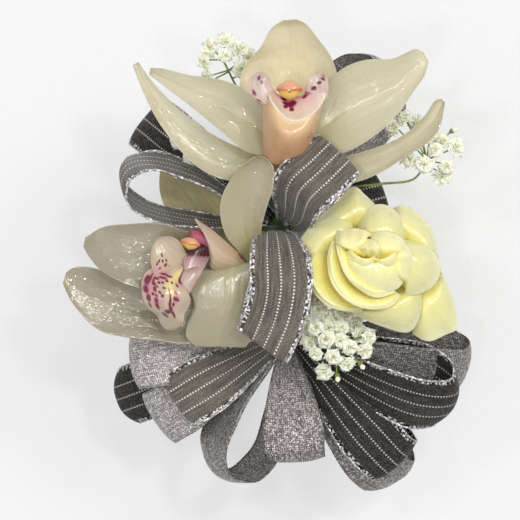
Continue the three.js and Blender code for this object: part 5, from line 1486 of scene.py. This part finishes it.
def seamTab(look, rows=61, columns=40):
    u, v = np.meshgrid(np.linspace(0, 2 * math.pi, columns, endpoint=False), np.linspace(-1, 1, rows),
                       indexing='ij')
    along = v * look["halfLength"]
    x = look["halfWidth"] * np.sign(np.cos(u)) * np.abs(np.cos(u)) ** 0.3
    z = look["halfThickness"] * np.sign(np.sin(u)) * np.abs(np.sin(u)) ** 0.6
    row = np.exp(-((np.abs(x) - look["stitchPlace"]) / 0.3) ** 2)
    stitch = row * np.abs(np.sin(along * math.pi / look["stitchPitch"]))
    z = z + np.sign(np.sin(u)) * (0.1 * stitch - 0.04)
    points = np.stack([x, along, look["height"] + z], axis=-1).transpose(1, 0, 2)
    first, last = points[:1].mean(axis=1, keepdims=True), points[-1:].mean(axis=1, keepdims=True)
    points = np.concatenate([np.repeat(first, columns, axis=1), points, np.repeat(last, columns, axis=1)])
    faces = gridFaces(rows + 2, columns, closedColumns=True)
    return points.reshape(-1, 3) / 1000, faces, points[..., [1, 0]].reshape(-1, 2)


tab = solid("bandSeamTab", [seamTab(tabSizes)], [silverElastic])
settle(tab, "elastic_underside", "elastic", "band_seam_tab")


# Floral tape wound in a spiral: the radius steps out by a lap at each turn.
tapeSizes = {"run": (-15, 27), "axis": (0, 47.8), "inner": 3.62, "outer": 4.0, "pitch": 4.6, "lap": 0.22}


def tapeTube(look, rows=170, columns=56):
    outer, lap = look["outer"], look["lap"]
    angle = np.linspace(0, 2 * math.pi, columns, endpoint=False)
    y = np.linspace(*look["run"], rows)
    saw = (y[:, None] / look["pitch"] + angle[None] / (2 * math.pi)) % 1
    crease = 0.05 * np.sin(y[:, None] * 3 + angle[None] * 5) * np.sin(angle[None] * 3 + y[:, None])
    radius = outer - lap + lap * np.minimum(saw * 1.4, 1) * np.clip((1 - saw) * 9, 0, 1) + crease
    ends = np.array(look["run"][::-1])[:, None] + np.zeros(columns)[None]
    radius = np.concatenate([radius, np.full((2, columns), look["inner"])])
    along = np.concatenate([np.broadcast_to(y[:, None], (rows, columns)), ends])
    x, z = look["axis"][0] + radius * np.cos(angle), look["axis"][1] + radius * np.sin(angle)
    uv = np.stack(np.broadcast_arrays(along, angle[None] * outer), axis=-1)
    faces = gridFaces(rows + 2, columns, closedRows=True, closedColumns=True)
    return np.stack([x, along, z], axis=-1).reshape(-1, 3) / 1000, faces, uv.reshape(-1, 2)


tape = solid("stemTapeWrap", [tapeTube(tapeSizes)], [floralTape])
settle(tape, "wristlet_and_bows", "tape", "stem_tape")

# Six cut stems in a ring and one in the middle, cut a little unevenly.
stemSizes = {"ring": 2.2, "height": 47.8, "from": -17, "to": 29, "radii": [1.08, 1.04, 1.06, 1.05]}
bundle = []
for k in range(7):
    far, turn = (0, 0) if k == 6 else (stemSizes["ring"], k * math.pi / 3)
    x, z = far * math.cos(turn), stemSizes["height"] + far * math.sin(turn)
    ends = (stemSizes["from"] + (k * 7 % 5) * 0.25, stemSizes["to"] - (k * 3 % 4) * 0.4)
    stem = np.array([[x, ends[0], z], [x, -8, z], [x, 10, z], [x, ends[1], z]]) / 1000
    bundle.append(bar(stem, np.array(stemSizes["radii"]) / 1000, 30, 16) + (0,))
stems = solid("cutStems", bundle, [cutStem])
settle(stems, "wristlet_and_bows", "stems", "stem_bundle")


# A taped wire stem that swells into the ovary under the flower. The ridges of the tape are
# a spiral, the ovary's are six lengthwise folds.
wiredSizes = {"radius": 1.16, "ovaryPlace": 0.93, "ovarySpread": 0.075, "tapePitch": 2.6}


def wiredStem(stations, ovary, rows=120, sides=30):
    line = smooth(np.array(stations, float), np.linspace(0, 1, rows))
    u = np.linspace(0, 1, rows)
    swell = np.exp(-((u - wiredSizes["ovaryPlace"]) / wiredSizes["ovarySpread"]) ** 2)
    body = wiredSizes["radius"] + (ovary - wiredSizes["radius"]) * swell
    angle = np.linspace(0, 2 * math.pi, sides, endpoint=False)
    length = np.concatenate([[0], np.cumsum(np.linalg.norm(np.diff(line, axis=0), axis=1))])
    saw = (length[:, None] / wiredSizes["tapePitch"] + angle[None] / (2 * math.pi)) % 1
    folds = 0.1 * np.cos(angle * 6)[None] * np.clip((u[:, None] - 0.8) * 8, 0, 1)
    radius = body[:, None] + 0.12 * np.minimum(saw * 1.3, 1) * np.clip((0.85 - u[:, None]) * 9, 0, 1) + folds
    ahead = unit(np.gradient(line, axis=0))
    first = unit(np.cross(ahead, np.array([0.9, 0.35, 0.1])))
    second = np.cross(ahead, first)
    ring = first[:, None] * np.cos(angle)[None, :, None] + second[:, None] * np.sin(angle)[None, :, None]
    points = line[:, None] + ring * radius[..., None]
    points = np.concatenate([np.repeat(line[None, :1], sides, axis=1), points,
                             np.repeat(line[None, -1:], sides, axis=1)])
    uv = np.stack(np.broadcast_arrays(np.arange(rows + 2)[:, None] / 10, np.arange(sides)[None] / 10),
                  axis=-1)
    faces = gridFaces(rows + 2, sides, closedColumns=True)[:, ::-1]
    row = faces[:, 0] // sides
    return points.reshape(-1, 3) / 1000, faces, uv.reshape(-1, 2), np.where(row > rows * 0.8, 1, 0)


for name, body, node, stations, ovary in [
        ("topOrchid_wiredStem", "top_orchid", "top_orchid_wired_stem",
         [(1.5, 22, 52.1), (3.6, 28.2, 54.4), (4.3, 30.4, 58.8), (4.3, 30.4, 62.6), (4.3, 30.4, 67.4)], 2.55),
        ("leftOrchid_wiredStem", "left_orchid", "left_orchid_wired_stem",
         [(-1.5, 0.5, 52.1), (-5.6, -0.4, 53.6), (-7.2, -0.7, 57.4), (-7.2, -0.7, 60.6),
          (-7.2, -0.7, 64.9)], 2.55)]:
    points, faces, uv, indices = wiredStem(stations, ovary)
    made = tidyPoles(meshObject(name, points, faces, uv, [floralTape, stemGreen], indices))
    settle(made, body, "stems", node)

# Rose stem, calyx cup and five sepals that lie back under the outer petals.
roseStem = {"stations": [(4.3, 3, 47.8), (10, 2.4, 47.6), (15.5, 1.75, 48), (21.5, 1.1, 51.4),
                         (26, 0.6, 54.8), (26.7, 0.5, 57.6)], "ovary": 1.9, "calyx": 4.1, "cupHeight": 57.1,
            "sepals": 5, "sepalReach": 9.2, "sepalHeight": 56.9, "sepalThickness": 0.35}


def roseCalyx(look):
    points, faces, uv, _ = wiredStem(look["stations"], look["ovary"])
    parts = [(points, faces, uv, 0)]
    top = look["stations"][-1]
    angle = np.linspace(0, 2 * math.pi, 36, endpoint=False)
    profile = np.array([(0, -3.3), (1.4, -3.2), (2.7, -2.4), (3.6, -1.2), (4.1, 0.2), (3.8, 1.6), (2.8, 2.6),
                        (0, 3.0)])
    radius = profile[:, :1] * look["calyx"] / 4.1 * (1 + 0.04 * np.cos(angle * 5)[None])
    cup = np.stack([top[0] + radius * np.cos(angle), top[1] + radius * np.sin(angle),
                    np.broadcast_to(look["cupHeight"] + profile[:, 1:], radius.shape)], axis=-1)
    parts.append((cup.reshape(-1, 3) / 1000, gridFaces(len(profile), 36, closedColumns=True)[:, ::-1],
                  np.zeros((cup.size // 3, 2)), 1))
    rows, columns = 14, 9
    u, v = np.meshgrid(np.linspace(0, 1, rows), np.linspace(-1, 1, columns), indexing='ij')
    for k in range(look["sepals"]):
        turn = 2 * math.pi * k / look["sepals"] + 0.4
        out, side = np.array([math.cos(turn), math.sin(turn)]), np.array([-math.sin(turn), math.cos(turn)])
        far = 2.6 + (look["sepalReach"] - 2.6) * u
        half = 1.7 * np.sin(math.pi * (0.25 + 0.75 * u)) ** 0.8 * (1 - u ** 6) + 0.05
        flat = out[None, None] * far[..., None] + side[None, None] * (v * half)[..., None]
        height = look["sepalHeight"] + 0.5 * u - 1.4 * u ** 2 + 0.5 * v ** 2 * half
        upper = np.concatenate([flat + np.array(top[:2]), height[..., None]], axis=-1)
        lower = upper - (0, 0, look["sepalThickness"])
        grid = np.concatenate([upper, lower[:, ::-1]], axis=1)
        faces = gridFaces(rows, 2 * columns, closedColumns=True)
        ends = np.array([[j, j + 1, 2 * columns - 2 - j, 2 * columns - 1 - j] for j in range(columns - 1)])
        faces = np.concatenate([faces, ends, ends[:, ::-1] + (rows - 1) * 2 * columns])
        parts.append((grid.reshape(-1, 3) / 1000, faces, np.zeros((grid.size // 3, 2)), 1))
    return parts


calyx = solid("rose_calyxAndStem", roseCalyx(roseStem), [floralTape, stemGreen])
settle(calyx, "rose", "calyx", "rose_calyx_and_wired_stem")

for node, material in {"clip_plate": platedSteel, "lower_tie_wire": tieWireSteel,
                       "upper_tie_wire": tieWireSteel}.items():
    part = bpy.data.objects[node]
    if not part.material_slots:
        part.data.materials.append(material)
    for carried in part.material_slots:
        carried.material = material
print("wristlet, stems and calyx made")
